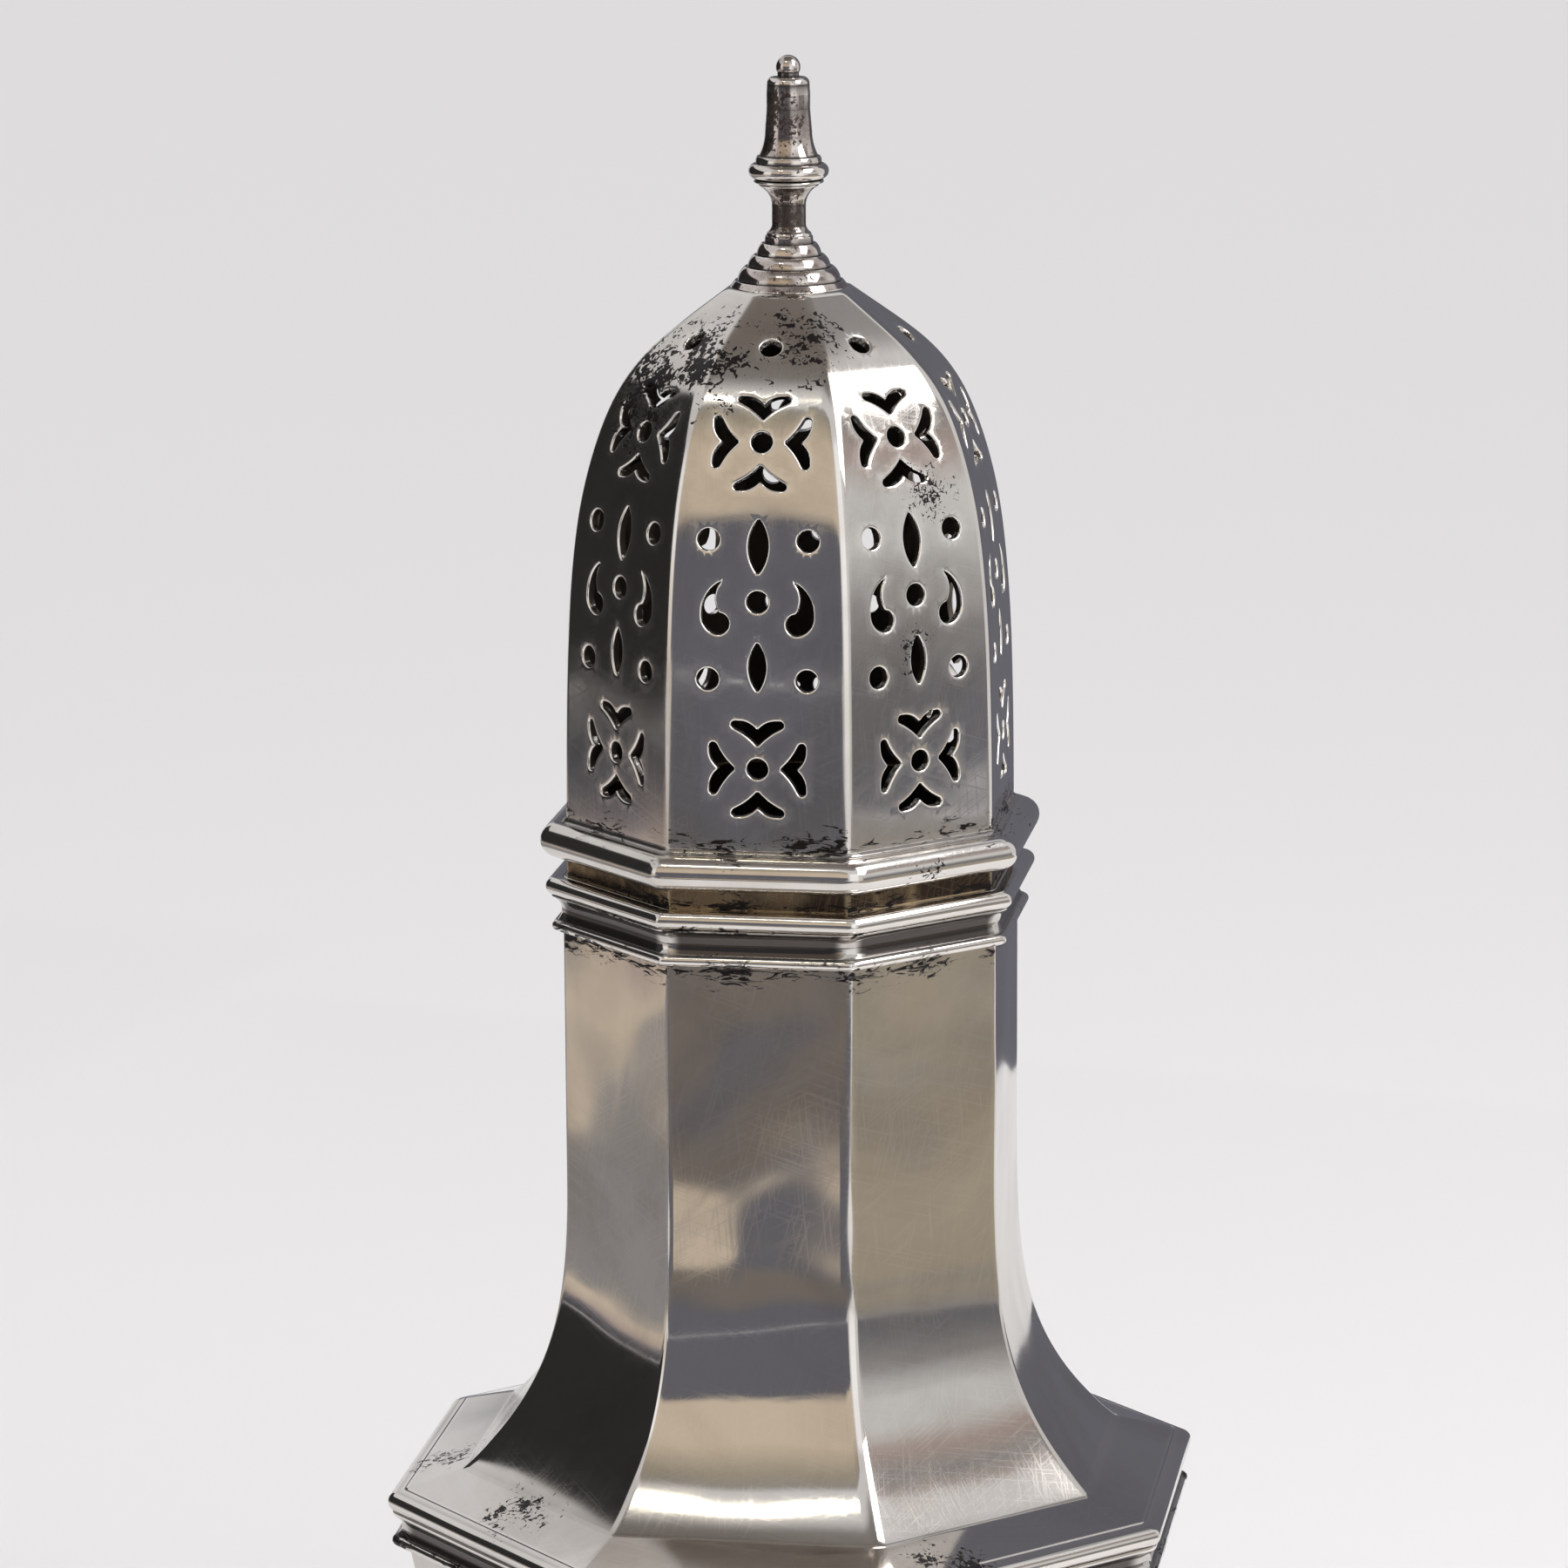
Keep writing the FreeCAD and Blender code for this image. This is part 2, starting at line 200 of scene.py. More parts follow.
def octagonRow(apothem, height, arris):
    arris = min(arris, mostArris * apothem)
    arrises = [arris * share for share in cornerShares]
    row = []
    for side in range(sides):
        facing, along = panelAxes(side)
        first = -(apothem - arrises[side - 1]) * halfSide
        last = (apothem - arrises[side]) * halfSide
        near = min(edgeGap, 0.1 * (last - first))
        spots = [first, *np.linspace(first + near, last - near, flatSteps), last]
        row.extend(facing * apothem + along * spot for spot in spots)
        centre = facing * (apothem - arrises[side]) + along * last
        for step in range(1, arcSteps):
            turn = sideTurn * step / arcSteps
            row.append(centre + (facing * math.cos(turn) + along * math.sin(turn)) * arrises[side])
    return [(p.x, p.y, height) for p in row]


def circleRow(radius, height, count=96):
    angles = [2 * math.pi * index / count for index in range(count)]
    return [(radius * math.cos(a), radius * math.sin(a), height) for a in angles]


def meshFromRows(name, rows, closed):
    vertices, starts = [], []
    for row in rows:
        starts.append(len(vertices))
        vertices.extend(row)
    faces = []
    pairs = list(zip(range(len(rows)), range(1, len(rows))))
    if closed:
        pairs.append((len(rows) - 1, 0))
    for first, second in pairs:
        a, b = starts[first], starts[second]
        n, m = len(rows[first]), len(rows[second])
        for index in range(max(n, m)):
            after = (index + 1) % max(n, m)
            if n == 1 and m > 1:
                faces.append((a, b + after, b + index))
            elif m == 1 and n > 1:
                faces.append((a + index, a + after, b))
            elif n > 1:
                faces.append((a + index, a + after, b + after, b + index))
    return meshFrom(name, vertices, faces)


def meshFrom(name, vertices, faces):
    mesh = bpy.data.meshes.new(name)
    mesh.from_pydata([Vector(v) * mm for v in vertices], [], faces)
    return mesh


def tidyMesh(mesh, sharpAngle=50):
    work = bmesh.new()
    work.from_mesh(mesh)
    bmesh.ops.remove_doubles(work, verts=work.verts, dist=0.002 * mm)
    bmesh.ops.recalc_face_normals(work, faces=work.faces)
    work.to_mesh(mesh)
    work.free()
    mesh.shade_smooth()
    mesh.set_sharp_from_angle(angle=math.radians(sharpAngle))


# Wear, and the tarnish with painted shade in creases, follow how sharply the surface bends, in radians to the
# millimetre
bendLeast = 0.25
bendSpan = 2.0
creaseReach = 0.22  # how far the dark line of a crease reaches from it, in millimetres


def markWear(mesh, halo=None):
    # Writes how strongly each point stands out (wear) or lies in a crease (crease)
    count = len(mesh.vertices)
    places = np.zeros(count * 3)
    normals = np.zeros(count * 3)
    ends = np.zeros(len(mesh.edges) * 2, int)
    mesh.vertices.foreach_get("co", places)
    mesh.vertices.foreach_get("normal", normals)
    mesh.edges.foreach_get("vertices", ends)
    places, normals, ends = places.reshape(-1, 3) / mm, normals.reshape(-1, 3), ends.reshape(-1, 2)
    most, least = np.zeros(count), np.zeros(count)
    bothWays = ((ends[:, 0], ends[:, 1]), (ends[:, 1], ends[:, 0]))
    for here, there in bothWays:
        gap = places[here] - places[there]
        bend = 2 * (normals[here] * gap).sum(1) / np.maximum((gap ** 2).sum(1), 1e-4)
        np.maximum.at(most, here, bend)
        np.minimum.at(least, here, bend)
    wear, crease = (np.clip((value - bendLeast) / bendSpan, 0, 1) for value in (most, -least))
    span = np.sqrt(((places[ends[:, 0]] - places[ends[:, 1]]) ** 2).sum(1))
    for again in range(5):
        for here, there in bothWays:
            np.maximum.at(crease, here, crease[there] - span / creaseReach)
    if halo is not None:
        border = halo(places)
        wear = np.maximum(wear * (border == 0), border)
        crease *= border == 0
    for name, value in (("wear", wear), ("crease", crease)):
        layer = mesh.attributes.new(name, "FLOAT", "POINT")
        layer.data.foreach_set("value", value.astype(np.float32))


def link(name, data):
    item = bpy.data.objects.new(name, data)
    bpy.context.scene.collection.objects.link(item)
    return item


def addPiece(name, node, mesh, finish, lined=False):
    # The finish holds the body that the piece rides on, its material slot, which is not used, and its
    # material
    body, slot, material = finish
    piece = link(name, mesh)
    mesh.materials.append(material)
    if lined:
        mesh.materials.append(shadedInsideSilver)
    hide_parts(node)
    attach(piece, body)


def addLoft(name, node, profile, finish, arris=None, closed=True, lined=False):
    # The arris is None for a turned piece, a radius, or a function of the height
    rows = []
    for a, z in profile:
        if a < 1e-4:
            rows.append([(0, 0, z)])
        elif arris is None:
            rows.append(circleRow(a, z))
        else:
            rows.append(octagonRow(a, z, arris(z) if callable(arris) else arris))
    mesh = meshFromRows(name, rows, closed)
    tidyMesh(mesh)
    markWear(mesh)
    if lined:
        # Faces that look inwards take the inner finish, painted dark as shade
        for face in mesh.polygons:
            outward = face.normal.x * face.center.x + face.normal.y * face.center.y
            face.material_index = int(outward < -0.05 * face.center.xy.length)
    addPiece(name, node, mesh, finish, lined)


# Shader groups
def setInputs(tree, node, values):
    # A value that is a socket is linked, and any other is set
    for key, value in values.items():
        if isinstance(value, bpy.types.NodeSocket):
            tree.links.new(value, node.inputs[key])
        else:
            node.inputs[key].default_value = value
    return node


def put(tree, kind, values=None, **settings):
    node = tree.nodes.new("ShaderNode" + kind)
    for key, value in settings.items():
        setattr(node, key, value)
    return setInputs(tree, node, values or {})


def makeGroup(name, inputs, build):
    # An input given a single number carries numbers; one given a point or None carries vectors
    group = bpy.data.node_groups.new(name, "ShaderNodeTree")
    for label, value in inputs.items():
        kind = "NodeSocketFloat" if isinstance(value, float) else "NodeSocketVector"
        socket = group.interface.new_socket(name=label, in_out="INPUT", socket_type=kind)
        if value is not None:
            socket.default_value = value
    results = build(group, group.nodes.new("NodeGroupInput").outputs)
    for label, value in results.items():
        kind = "NodeSocketVector" if value.type == "VECTOR" else "NodeSocketFloat"
        group.interface.new_socket(name=label, in_out="OUTPUT", socket_type=kind)
    setInputs(group, group.nodes.new("NodeGroupOutput"), results)
    return group


def calc(tree, operation, first, second=0.0, third=0.0, clamp=False):
    values = {0: first, 1: second, 2: third}
    return put(tree, "Math", values, operation=operation, use_clamp=clamp).outputs[0]


def times(tree, value, factor, plus=None):
    if plus is None:
        return calc(tree, "MULTIPLY", value, factor)
    return calc(tree, "MULTIPLY_ADD", value, factor, plus)


def largestOf(tree, values):
    # The largest of several values, or None of none
    largest = None
    for value in values:
        largest = value if largest is None else calc(tree, "MAXIMUM", largest, value)
    return largest


def remap(tree, value, low, high, newLow=0.0, newHigh=1.0):
    values = {"Value": value, "From Min": low, "From Max": high, "To Min": newLow, "To Max": newHigh}
    return put(tree, "MapRange", values, interpolation_type="SMOOTHSTEP").outputs[0]


def noise(tree, place, scale, detail, roughness=0.5, distortion=0.0, dimensions="3D"):
    values = {"Vector": place, "Scale": scale, "Detail": detail, "Roughness": roughness}
    values["Distortion"] = distortion
    return put(tree, "TexNoise", values, noise_dimensions=dimensions).outputs[0]


def blendColour(tree, mask, under, over):
    values = {"Factor": mask}
    for index, colour in ((6, under), (7, over)):
        values[index] = colour if isinstance(colour, bpy.types.NodeSocket) else (*colour, 1)
    return put(tree, "Mix", values, data_type="RGBA").outputs[2]


def drawTarnish(tree, given):
    cloud = noise(tree, given["Vector"], given["Scale"], 5.0, 0.6, 0.6)
    return {"Mask": remap(tree, cloud, given["Low"], given["High"])}


panelsApart = 0.31  # metres for each radian of turn, so that no two panels share a pattern
shoulderShare = -0.7  # how much of the apothem is added to the height, so shoulders aren't stretched


def unrollPanels(tree, given):
    # Across is the way round, up follows the height and the shoulders, and Edge goes from 0 in the
    # middle of a panel to 1 at its arrises
    split = put(tree, "SeparateXYZ", {"Vector": given["Vector"]}).outputs
    angle = calc(tree, "ARCTAN2", split["X"], times(tree, split["Y"], -1.0))
    local = calc(tree, "WRAP", angle, math.pi / sides, -math.pi / sides)
    panel = calc(tree, "SUBTRACT", angle, local)
    flat = put(tree, "VectorMath", {0: given["Vector"], 1: (1, 1, 0)}, operation="MULTIPLY").outputs[0]
    reach = put(tree, "VectorMath", {0: flat}, operation="LENGTH").outputs["Value"]
    across = times(tree, reach, calc(tree, "SINE", local))
    apothem = times(tree, reach, calc(tree, "COSINE", local))
    joined = put(tree, "CombineXYZ", {"X": times(tree, panel, panelsApart, across),
                                      "Y": times(tree, apothem, shoulderShare, split["Z"])})
    edge = calc(tree, "DIVIDE", calc(tree, "ABSOLUTE", across), times(tree, apothem, halfSide))
    return {"Vector": joined.outputs[0], "Edge": edge}


scratchRuns = [(0.08, 0.00018), (1.25, 0.00022), (2.05, 0.00016), (2.85, 0.0002)]  # heading, width in metres
scratchLength = 55  # in widths


def drawScratches(tree, given):
    runs = []
    for turn, width in scratchRuns:
        # The texture kind of mapping turns first and stretches after
        stretch = (width, width * scratchLength, 1)
        values = {"Vector": given["Plane"], "Rotation": (0, 0, turn), "Scale": stretch}
        turned = put(tree, "Mapping", values, vector_type="TEXTURE").outputs[0]
        line = noise(tree, turned, 1.0, 0.0, dimensions="2D")
        runs.append(remap(tree, line, given["Threshold"], calc(tree, "ADD", given["Threshold"], 0.1)))
    scratches = largestOf(tree, runs)
    return {"Height": times(tree, scratches, -1.0), "Mask": scratches}


def drawWaves(tree, given):
    waves = noise(tree, given["Vector"], given["Scale"], 1.5, 0.45)
    return {"Height": times(tree, waves, given["Depth"])}


def specksWhere(tree, grain, near, clumps, bare, gain, spread, softness):
    # Specks show where the grain passes a level, which falls near the middle and in the clumps
    level = times(tree, near, -gain, bare)
    level = times(tree, calc(tree, "SUBTRACT", clumps, 0.5), -spread, level)
    return remap(tree, grain, level, calc(tree, "ADD", level, softness))


def drawSulphide(tree, given):
    place = given["Vector"]
    far = put(tree, "VectorMath", {0: place, 1: given["Centre"]}, operation="DISTANCE").outputs["Value"]
    inside = remap(tree, calc(tree, "DIVIDE", far, given["Reach"]), 1.0, 0.1)
    clumps = noise(tree, place, 330.0, 2.0)
    grain = noise(tree, place, given["Grain"], 2.0, 0.6, 0.8)
    specks = specksWhere(tree, grain, times(tree, inside, given["Cover"]), clumps, 0.66, 0.28, 0.7, 0.04)
    return {"Mask": times(tree, specks, calc(tree, "GREATER_THAN", inside, 0.01))}


def drawSeamGrime(tree, given):
    height = put(tree, "SeparateXYZ", {"Vector": given["Vector"]}).outputs["Z"]
    away = calc(tree, "ABSOLUTE", calc(tree, "SUBTRACT", height, given["Level"]))
    away = calc(tree, "DIVIDE", away, given["Reach"])
    streaky = put(tree, "Mapping", {"Vector": given["Plane"], "Scale": (480, 1900, 1)}).outputs[0]
    streaks = noise(tree, streaky, 1.0, 5.0, 0.74, 0.9, "2D")
    clumps = noise(tree, given["Plane"], 110.0, 1.0, dimensions="2D")
    near = times(tree, calc(tree, "SUBTRACT", 1.0, away, clamp=True), given["Cover"])
    specks = specksWhere(tree, streaks, near, clumps, 0.72, 0.42, 0.6, 0.06)
    return {"Mask": times(tree, specks, calc(tree, "LESS_THAN", away, 1.0))}


surfacePlane = makeGroup("Surface plane", {"Vector": None}, unrollPanels)
tarnishCloud = makeGroup("Tarnish cloud", {
    "Vector": None, "Scale": 40.0, "Low": 0.4, "High": 0.65}, drawTarnish)
fineScratches = makeGroup("Fine scratches", {"Plane": None, "Threshold": 0.62}, drawScratches)
handWaves = makeGroup("Hand raised waves", {"Vector": None, "Scale": 45.0, "Depth": 0.00003}, drawWaves)
sulphidePatch = makeGroup("Sulphide patch", {
    "Vector": None, "Centre": (0, 0, 0), "Reach": 0.01, "Grain": 2200.0, "Cover": 0.5}, drawSulphide)
seamGrime = makeGroup("Seam grime", {
    "Vector": None, "Plane": None, "Level": 0.1, "Reach": 0.002, "Cover": 0.5}, drawSeamGrime)
print("stage: shader groups built")


def useGroup(tree, group, values):
    return put(tree, "Group", values, node_tree=group).outputs


def newMaterial(name):
    material = bpy.data.materials.new(name)
    material.use_nodes = True
    return material, material.node_tree


def silverMaterial(name, changes):
    look = dict(plainSilver, **changes)
    material, tree = newMaterial(name)
    place = put(tree, "TexCoord").outputs["Object"]
    unrolled = useGroup(tree, surfacePlane, {"Vector": place})
    plane = unrolled["Vector"]
    cloud = {"Vector": place, "Scale": look["filmScale"], "Low": look["filmLow"], "High": look["filmHigh"]}
    film = useGroup(tree, tarnishCloud, cloud)["Mask"]
    scratch = useGroup(tree, fineScratches, {"Plane": plane, "Threshold": look["scratchThreshold"]})
    wavy = {"Vector": place, "Scale": look["waveScale"], "Depth": look["waveDepth"]}
    waves = useGroup(tree, handWaves, wavy)["Height"]
    worn = put(tree, "Attribute", attribute_name="wear").outputs["Fac"]
    crease = put(tree, "Attribute", attribute_name="crease").outputs["Fac"]
    height = put(tree, "SeparateXYZ", {"Vector": place}).outputs["Z"]

    specks = []
    for centre, reach, grain, cover in look["patches"]:
        centre = tuple(v * mm for v in centre)
        patch = {"Vector": place, "Centre": centre, "Reach": reach * mm, "Grain": grain, "Cover": cover}
        specks.append(useGroup(tree, sulphidePatch, patch)["Mask"])
    for level, reach, cover in look["seams"]:
        seam = {"Vector": place, "Plane": plane, "Level": level * mm, "Reach": reach * mm, "Cover": cover}
        specks.append(useGroup(tree, seamGrime, seam)["Mask"])
    dark = largestOf(tree, specks)

    # Creases get tarnish with painted shade, and the hollows of the mouldings get a painted dark reflection
    # over their tarnish; thin tarnish drifts over the rest
    tarnishAndShadeParts = [times(tree, crease, look["creaseTarnishAndShade"])]
    # The painted dark reflection in a hollow fades out just before the arrises, leaving rounded ends
    ends = remap(tree, unrolled["Edge"], 0.97, 0.82)
    for level, reach, cover in look["hollows"]:
        away = calc(tree, "ABSOLUTE", calc(tree, "SUBTRACT", height, level * mm))
        tarnishAndShadeParts.append(times(tree, remap(tree, away, reach * mm, 0.7 * reach * mm, 0.0, cover), ends))
    tarnishAndShadeMask = largestOf(tree, tarnishAndShadeParts)
    colour = blendColour(tree, times(tree, film, look["filmAmount"]), look["silver"], look["film"])
    colour = blendColour(tree, times(tree, scratch["Mask"], look["scratchBright"]), colour, look["bright"])
    colour = blendColour(tree, times(tree, worn, look["wornAmount"]), colour, look["bright"])
    colour = blendColour(tree, tarnishAndShadeMask, colour, look["tarnishAndShade"])
    metal = times(tree, tarnishAndShadeMask, -0.2, 1.0)
    rough = times(tree, film, look["filmRoughness"], look["roughness"])
    rough = times(tree, scratch["Mask"], look["scratchRoughness"], rough)
    rough = times(tree, tarnishAndShadeMask, look["tarnishAndShadeRoughness"], rough)
    rough = times(tree, worn, look["wornRoughness"], rough)
    if dark is not None:
        colour = blendColour(tree, dark, colour, look["sulphide"])
        metal = calc(tree, "SUBTRACT", metal, times(tree, dark, 0.35), clamp=True)
        rough = times(tree, dark, look["sulphideRoughness"], rough)
    relief = calc(tree, "ADD", times(tree, scratch["Height"], look["scratchDepth"]), waves)
    bump = put(tree, "Bump", {"Height": relief, "Distance": 1.0, "Strength": 1.0}).outputs["Normal"]
    rough = calc(tree, "MINIMUM", rough, 0.8)
    finished = {"Base Color": colour, "Metallic": metal, "Roughness": rough, "Normal": bump}
    setInputs(tree, tree.nodes["Principled BSDF"], finished)
    return material


# Patches are (centre, reach, grain, cover), and seams and hollows (level, reach, cover), in millimetres;
# depths are in metres, and scales and grains count the features in about a metre
plainSilver = {
    "silver": (0.75, 0.72, 0.685),
    "film": (0.47, 0.43, 0.385),
    "bright": (0.90, 0.87, 0.83),
    # The next colour darkens creases and hollows: tarnish with painted shade, and a painted dark reflection
    # in the hollows
    "tarnishAndShade": (0.055, 0.046, 0.043),
    "sulphide": (0.014, 0.011, 0.011),
    "filmScale": 38.0,
    "filmLow": 0.38,
    "filmHigh": 0.68,
    "filmAmount": 0.6,
    "filmRoughness": 0.07,
    "roughness": 0.055,
    "wornAmount": 0.7,
    "wornRoughness": 0.0,
    # How strongly creases are darkened: tarnish with painted shade
    "creaseTarnishAndShade": 0.6,
    "tarnishAndShadeRoughness": 0.06,
    "sulphideRoughness": 0.3,
    "scratchThreshold": 0.68,
    "scratchBright": 0.1,
    "scratchRoughness": 0.03,
    "scratchDepth": 0.00000012,
    "waveScale": 42.0,
    "waveDepth": 0.0005,
    "patches": [],
    "seams": [],
    "hollows": [],
}
# Inner skins and the walls of the openings: a near-black, rough silver under a heavy film, which is painted
# shade
shadedInsideSilver = silverMaterial("shadedInsideSilver", {
    "silver": (0.14, 0.12, 0.10), "film": (0.05, 0.04, 0.032), "bright": (0.26, 0.23, 0.2), "filmAmount": 0.9,
    "roughness": 0.36, "filmRoughness": 0.2, "wornAmount": 0.2,
})


# Foot: a flared octagonal skirt on a moulded rim
foot = {
    "topApothem": 9.6,
    "edgeApothem": 29.6,
    "wall": 0.8,
    "moves": [("run", 0.8), ("bend", 7.0, 70), ("run", 3.2), ("bend", 8.0, -52), ("bend", 1.5, 60)],
    "arris": 0.9,
    "rimArris": 0.7,
    "look": {
        "seams": [(4.0, 1.4, 0.6), (19.3, 1.2, 0.7)],
        # The hollow of the rim gets a painted dark reflection over its tarnish
        "hollows": [(2.35, 0.45, 0.7)],
        "patches": [((20, -18, 9), 8, 1600, 0.5)],
    },
}
footFinish = ("body", "foot_silver", silverMaterial("footSilver", foot["look"]))


def shellProfile(start, moves, edge, wall, foldTo, ease=None):
    # Both skins of a downward path, with an upright skirt at its foot
    outer = tracePath(start, 180, moves + [("runTo", edge)])
    if ease:
        # The last bend is the crease at the foot of the flare, which stays crisp
        swept = tracePath(start, 180, moves[:-1], 0.5)
        outer = easedPath(swept, ease) + outer[len(tracePath(start, 180, moves[:-1])):]
    inner = offsetPath(outer, -wall)
    inner[0] = (start[0] - wall, start[1])
    inner = [point for point in inner if point[0] < edge - wall - 0.3]
    slope = (outer[-1][1] - outer[-2][1]) / (outer[-1][0] - outer[-2][0])
    inner.append((edge - wall, inner[-1][1] + slope * (edge - wall - inner[-1][0])))
    inner.append((edge - wall, foldTo))
    outer.append((edge, foldTo))
    return outer + inner[::-1]


footProfile = shellProfile((foot["topApothem"], footTop), foot["moves"], foot["edgeApothem"], foot["wall"], 0)
footProfile = guard(soften(footProfile, 0.2), 0.2)
addLoft("footShell", "foot_shell", footProfile, footFinish, foot["arris"], lined=True)

crispRadius = 0.12  # the rounding of a drawn moulding's edges, and the run kept flat beside it


def beadOutline(seat, corners):
    # A moulding's section from its seat outwards; each corner gives reach, height and the bow before it
    points = [(seat + reach, z, bow) for reach, z, bow in corners]
    return guard(soften(bowed(points, 12), crispRadius, sharpest=24), crispRadius)


footRim = {"baseBead": 1.9, "baseReach": 2.2, "hollow": 0.9, "hollowDepth": 0.25, "topBead": 0.8,
           "topReach": 1.2}
baseNose = footRim["baseReach"] - footRim["baseBead"] / 2
topNose = footRim["topReach"] - footRim["topBead"] / 2
footRimSection = beadOutline(foot["edgeApothem"], [
    (0, 0, 0),
    (baseNose, 0, 0),
    (baseNose, footRim["baseBead"], footRim["baseBead"] / 2),
    (topNose, footRim["baseBead"] + footRim["hollow"], -footRim["hollowDepth"]),
    (topNose, footRimTop, footRim["topBead"] / 2),
    (0, footRimTop, 0),
])
addLoft("footRim", "foot_rim_moulding", footRimSection, footFinish, foot["rimArris"])
print("stage: foot")


# Body: collar, bowl, girth moulding, neck and mouth moulding
body = {
    "wall": 0.8,
    "collarApothem": 12.4,
    "collarBow": 1.1,
    "collarArris": 0.6,
    "bowlFloor": 12.4,
    "bowlMoves": [("bend", 32.2, -28), ("bend", 16.5, -48)],
    "bowlArris": 0.9,
    "girthApothem": 36.6,
    "neckApothem": 21.24,
    "neckMoves": [("run", 32.55), ("bend", 76.0, 8), ("bend", 25.5, 42), ("bend", 1.6, 23)],
    "neckEase": 3.5,
    "arris": 1.4,
    "look": {
        "waveDepth": 0.0028,
        "waveScale": 26.0,
        "seams": [(mouth - 5.9, 2.5, 0.62), (mouth - 1.9, 0.7, 0.4), (shoulderEdge - 4.9, 0.9, 0.6),
                  (bowlBottom + 0.2, 1.6, 0.7)],
        # The hollows of the mouldings get a painted dark reflection over their tarnish
        "hollows": [(mouth - 3.1, 1.45, 0.95), (shoulderEdge - 3.6, 1.25, 0.92)],
        "patches": [((20, -32, 50.5), 6, 1900, 0.6), ((-24, -24, 52.5), 6, 1700, 0.6),
                    ((8, 34, 52), 9, 1700, 0.6), ((-34, -8, 51), 5, 1700, 0.6)],
    },
}
bodyFinish = ("body", "body_silver", silverMaterial("bodySilver", body["look"]))
bore = foot["topApothem"] - foot["wall"]
collarSection = beadOutline(0, [
    (bore, footTop, 0),
    (body["collarApothem"], footTop, 0),
    (body["collarApothem"], bowlBottom, body["collarBow"]),
    (bore, bowlBottom, 0),
])
addLoft("stemCollar", "stem_collar", collarSection, footFinish, body["collarArris"])

bowlMoves = body["bowlMoves"] + [("runTo", body["bowlFloor"])]
bowlOuter = tracePath((body["girthApothem"], bowlTop), 180, bowlMoves)
bowlInner = offsetPath(bowlOuter, -body["wall"])
bowlInner[0] = (body["girthApothem"] - body["wall"], bowlTop)
bowlLoop = [(0, bowlOuter[-1][1])] + bowlOuter[::-1] + bowlInner + [(0, bowlInner[-1][1])]
bowlProfile = guard(soften(bowlLoop, 0.3, closed=False), 0.3, closed=False)
addLoft("lowerBowl", "lower_bowl", bowlProfile, bodyFinish, body["bowlArris"], closed=False, lined=True)

neckStart = (body["neckApothem"], mouth)
neckProfile = shellProfile(
    neckStart, body["neckMoves"], body["girthApothem"], body["wall"], bowlTop, body["neckEase"])
neckProfile = guard(soften(neckProfile, 0.2), 0.25, longest=3)
addLoft("neckShell", "neck_shell", neckProfile, bodyFinish, body["arris"], lined=True)


def appliedMoulding(seat, top, sizes):
    lowerNose = sizes["lowerReach"] - sizes["lowerBead"] / 2
    beadNose = sizes["beadReach"] - sizes["bead"] / 2
    bottom = top - sum(sizes[key] for key in ("lowerBead", "hollow", "fillet", "bead", "fall"))
    lowerTop = bottom + sizes["lowerBead"]
    hollowTop = lowerTop + sizes["hollow"]
    filletTop = hollowTop + sizes["fillet"]
    return beadOutline(seat, [
        (0, bottom, 0),
        (lowerNose, bottom, 0),
        (lowerNose, lowerTop, sizes["lowerBead"] / 2),
        (sizes["filletReach"], hollowTop, -sizes["hollowDepth"]),
        (sizes["filletReach"], filletTop, 0),
        (beadNose, filletTop, 0),
        (beadNose, filletTop + sizes["bead"], sizes["bead"] / 2),
        (0, top, 0),
    ])


def mouldingArris(top, sizes):
    # The corners are softest in the hollow, which ends in rounded bays
    high = top - sizes["fall"] - sizes["bead"] - sizes["fillet"]
    middle, half = high - sizes["hollow"] / 2, 0.62 * sizes["hollow"]
    return lambda z: sizes["arris"] + sizes["bayArris"] * max(0, 1 - ((z - middle) / half) ** 2)


mouldings = {
    "mouth": {"bead": 1.75, "beadReach": 1.6, "fillet": 0.15, "filletReach": 1.1, "hollow": 2.4,
              "hollowDepth": 0.5, "lowerBead": 1.05, "lowerReach": 1.05, "fall": 0.0, "arris": 1.1,
              "bayArris": 2.6},
    "girth": {"bead": 1.9, "beadReach": 1.65, "fillet": 0.4, "filletReach": 1.2, "hollow": 2.1,
              "hollowDepth": 0.5, "lowerBead": 1.0, "lowerReach": 1.3, "fall": 0.3, "arris": 1.2,
              "bayArris": 2.4},
}
for key, seat, top in (("mouth", body["neckApothem"], mouth), ("girth", body["girthApothem"], shoulderEdge)):
    sizes = mouldings[key]
    addLoft(key + "Moulding", key + "_moulding", appliedMoulding(seat, top, sizes), bodyFinish,
            mouldingArris(top, sizes))
print("stage: body")


# Cover: sleeve, band, rim moulding and pierced dome
cover = {
    "sleeveClearance": 0.1,
    "sleeveWall": 0.6,
    "sleeveLead": 0.3,
    "sleeveArris": 0.6,
    "bandLand": 0.45,
    "bead": 3.4,
    "reach": 23.35,
    "cove": 0.48,
    "fillet": 0.15,
    "arris": 2.2,
    "sleeveLook": {
        "silver": (0.40, 0.30, 0.185), "film": (0.06, 0.043, 0.032), "bright": (0.62, 0.5, 0.32),
        "filmAmount": 1.0, "filmScale": 90.0, "filmLow": 0.36, "filmHigh": 0.6, "roughness": 0.2,
        "filmRoughness": 0.2, "seams": [(mouth + 0.4, 1.1, 0.7), (bandTop, 0.8, 0.6)],
    },
}
sleeveFinish = ("cover", "sleeve_gilt", silverMaterial("sleeveGilt", cover["sleeveLook"]))
sleeveApothem = body["neckApothem"] - body["wall"] - cover["sleeveClearance"]
sleeveInner = sleeveApothem - cover["sleeveWall"]
lead = cover["sleeveLead"]
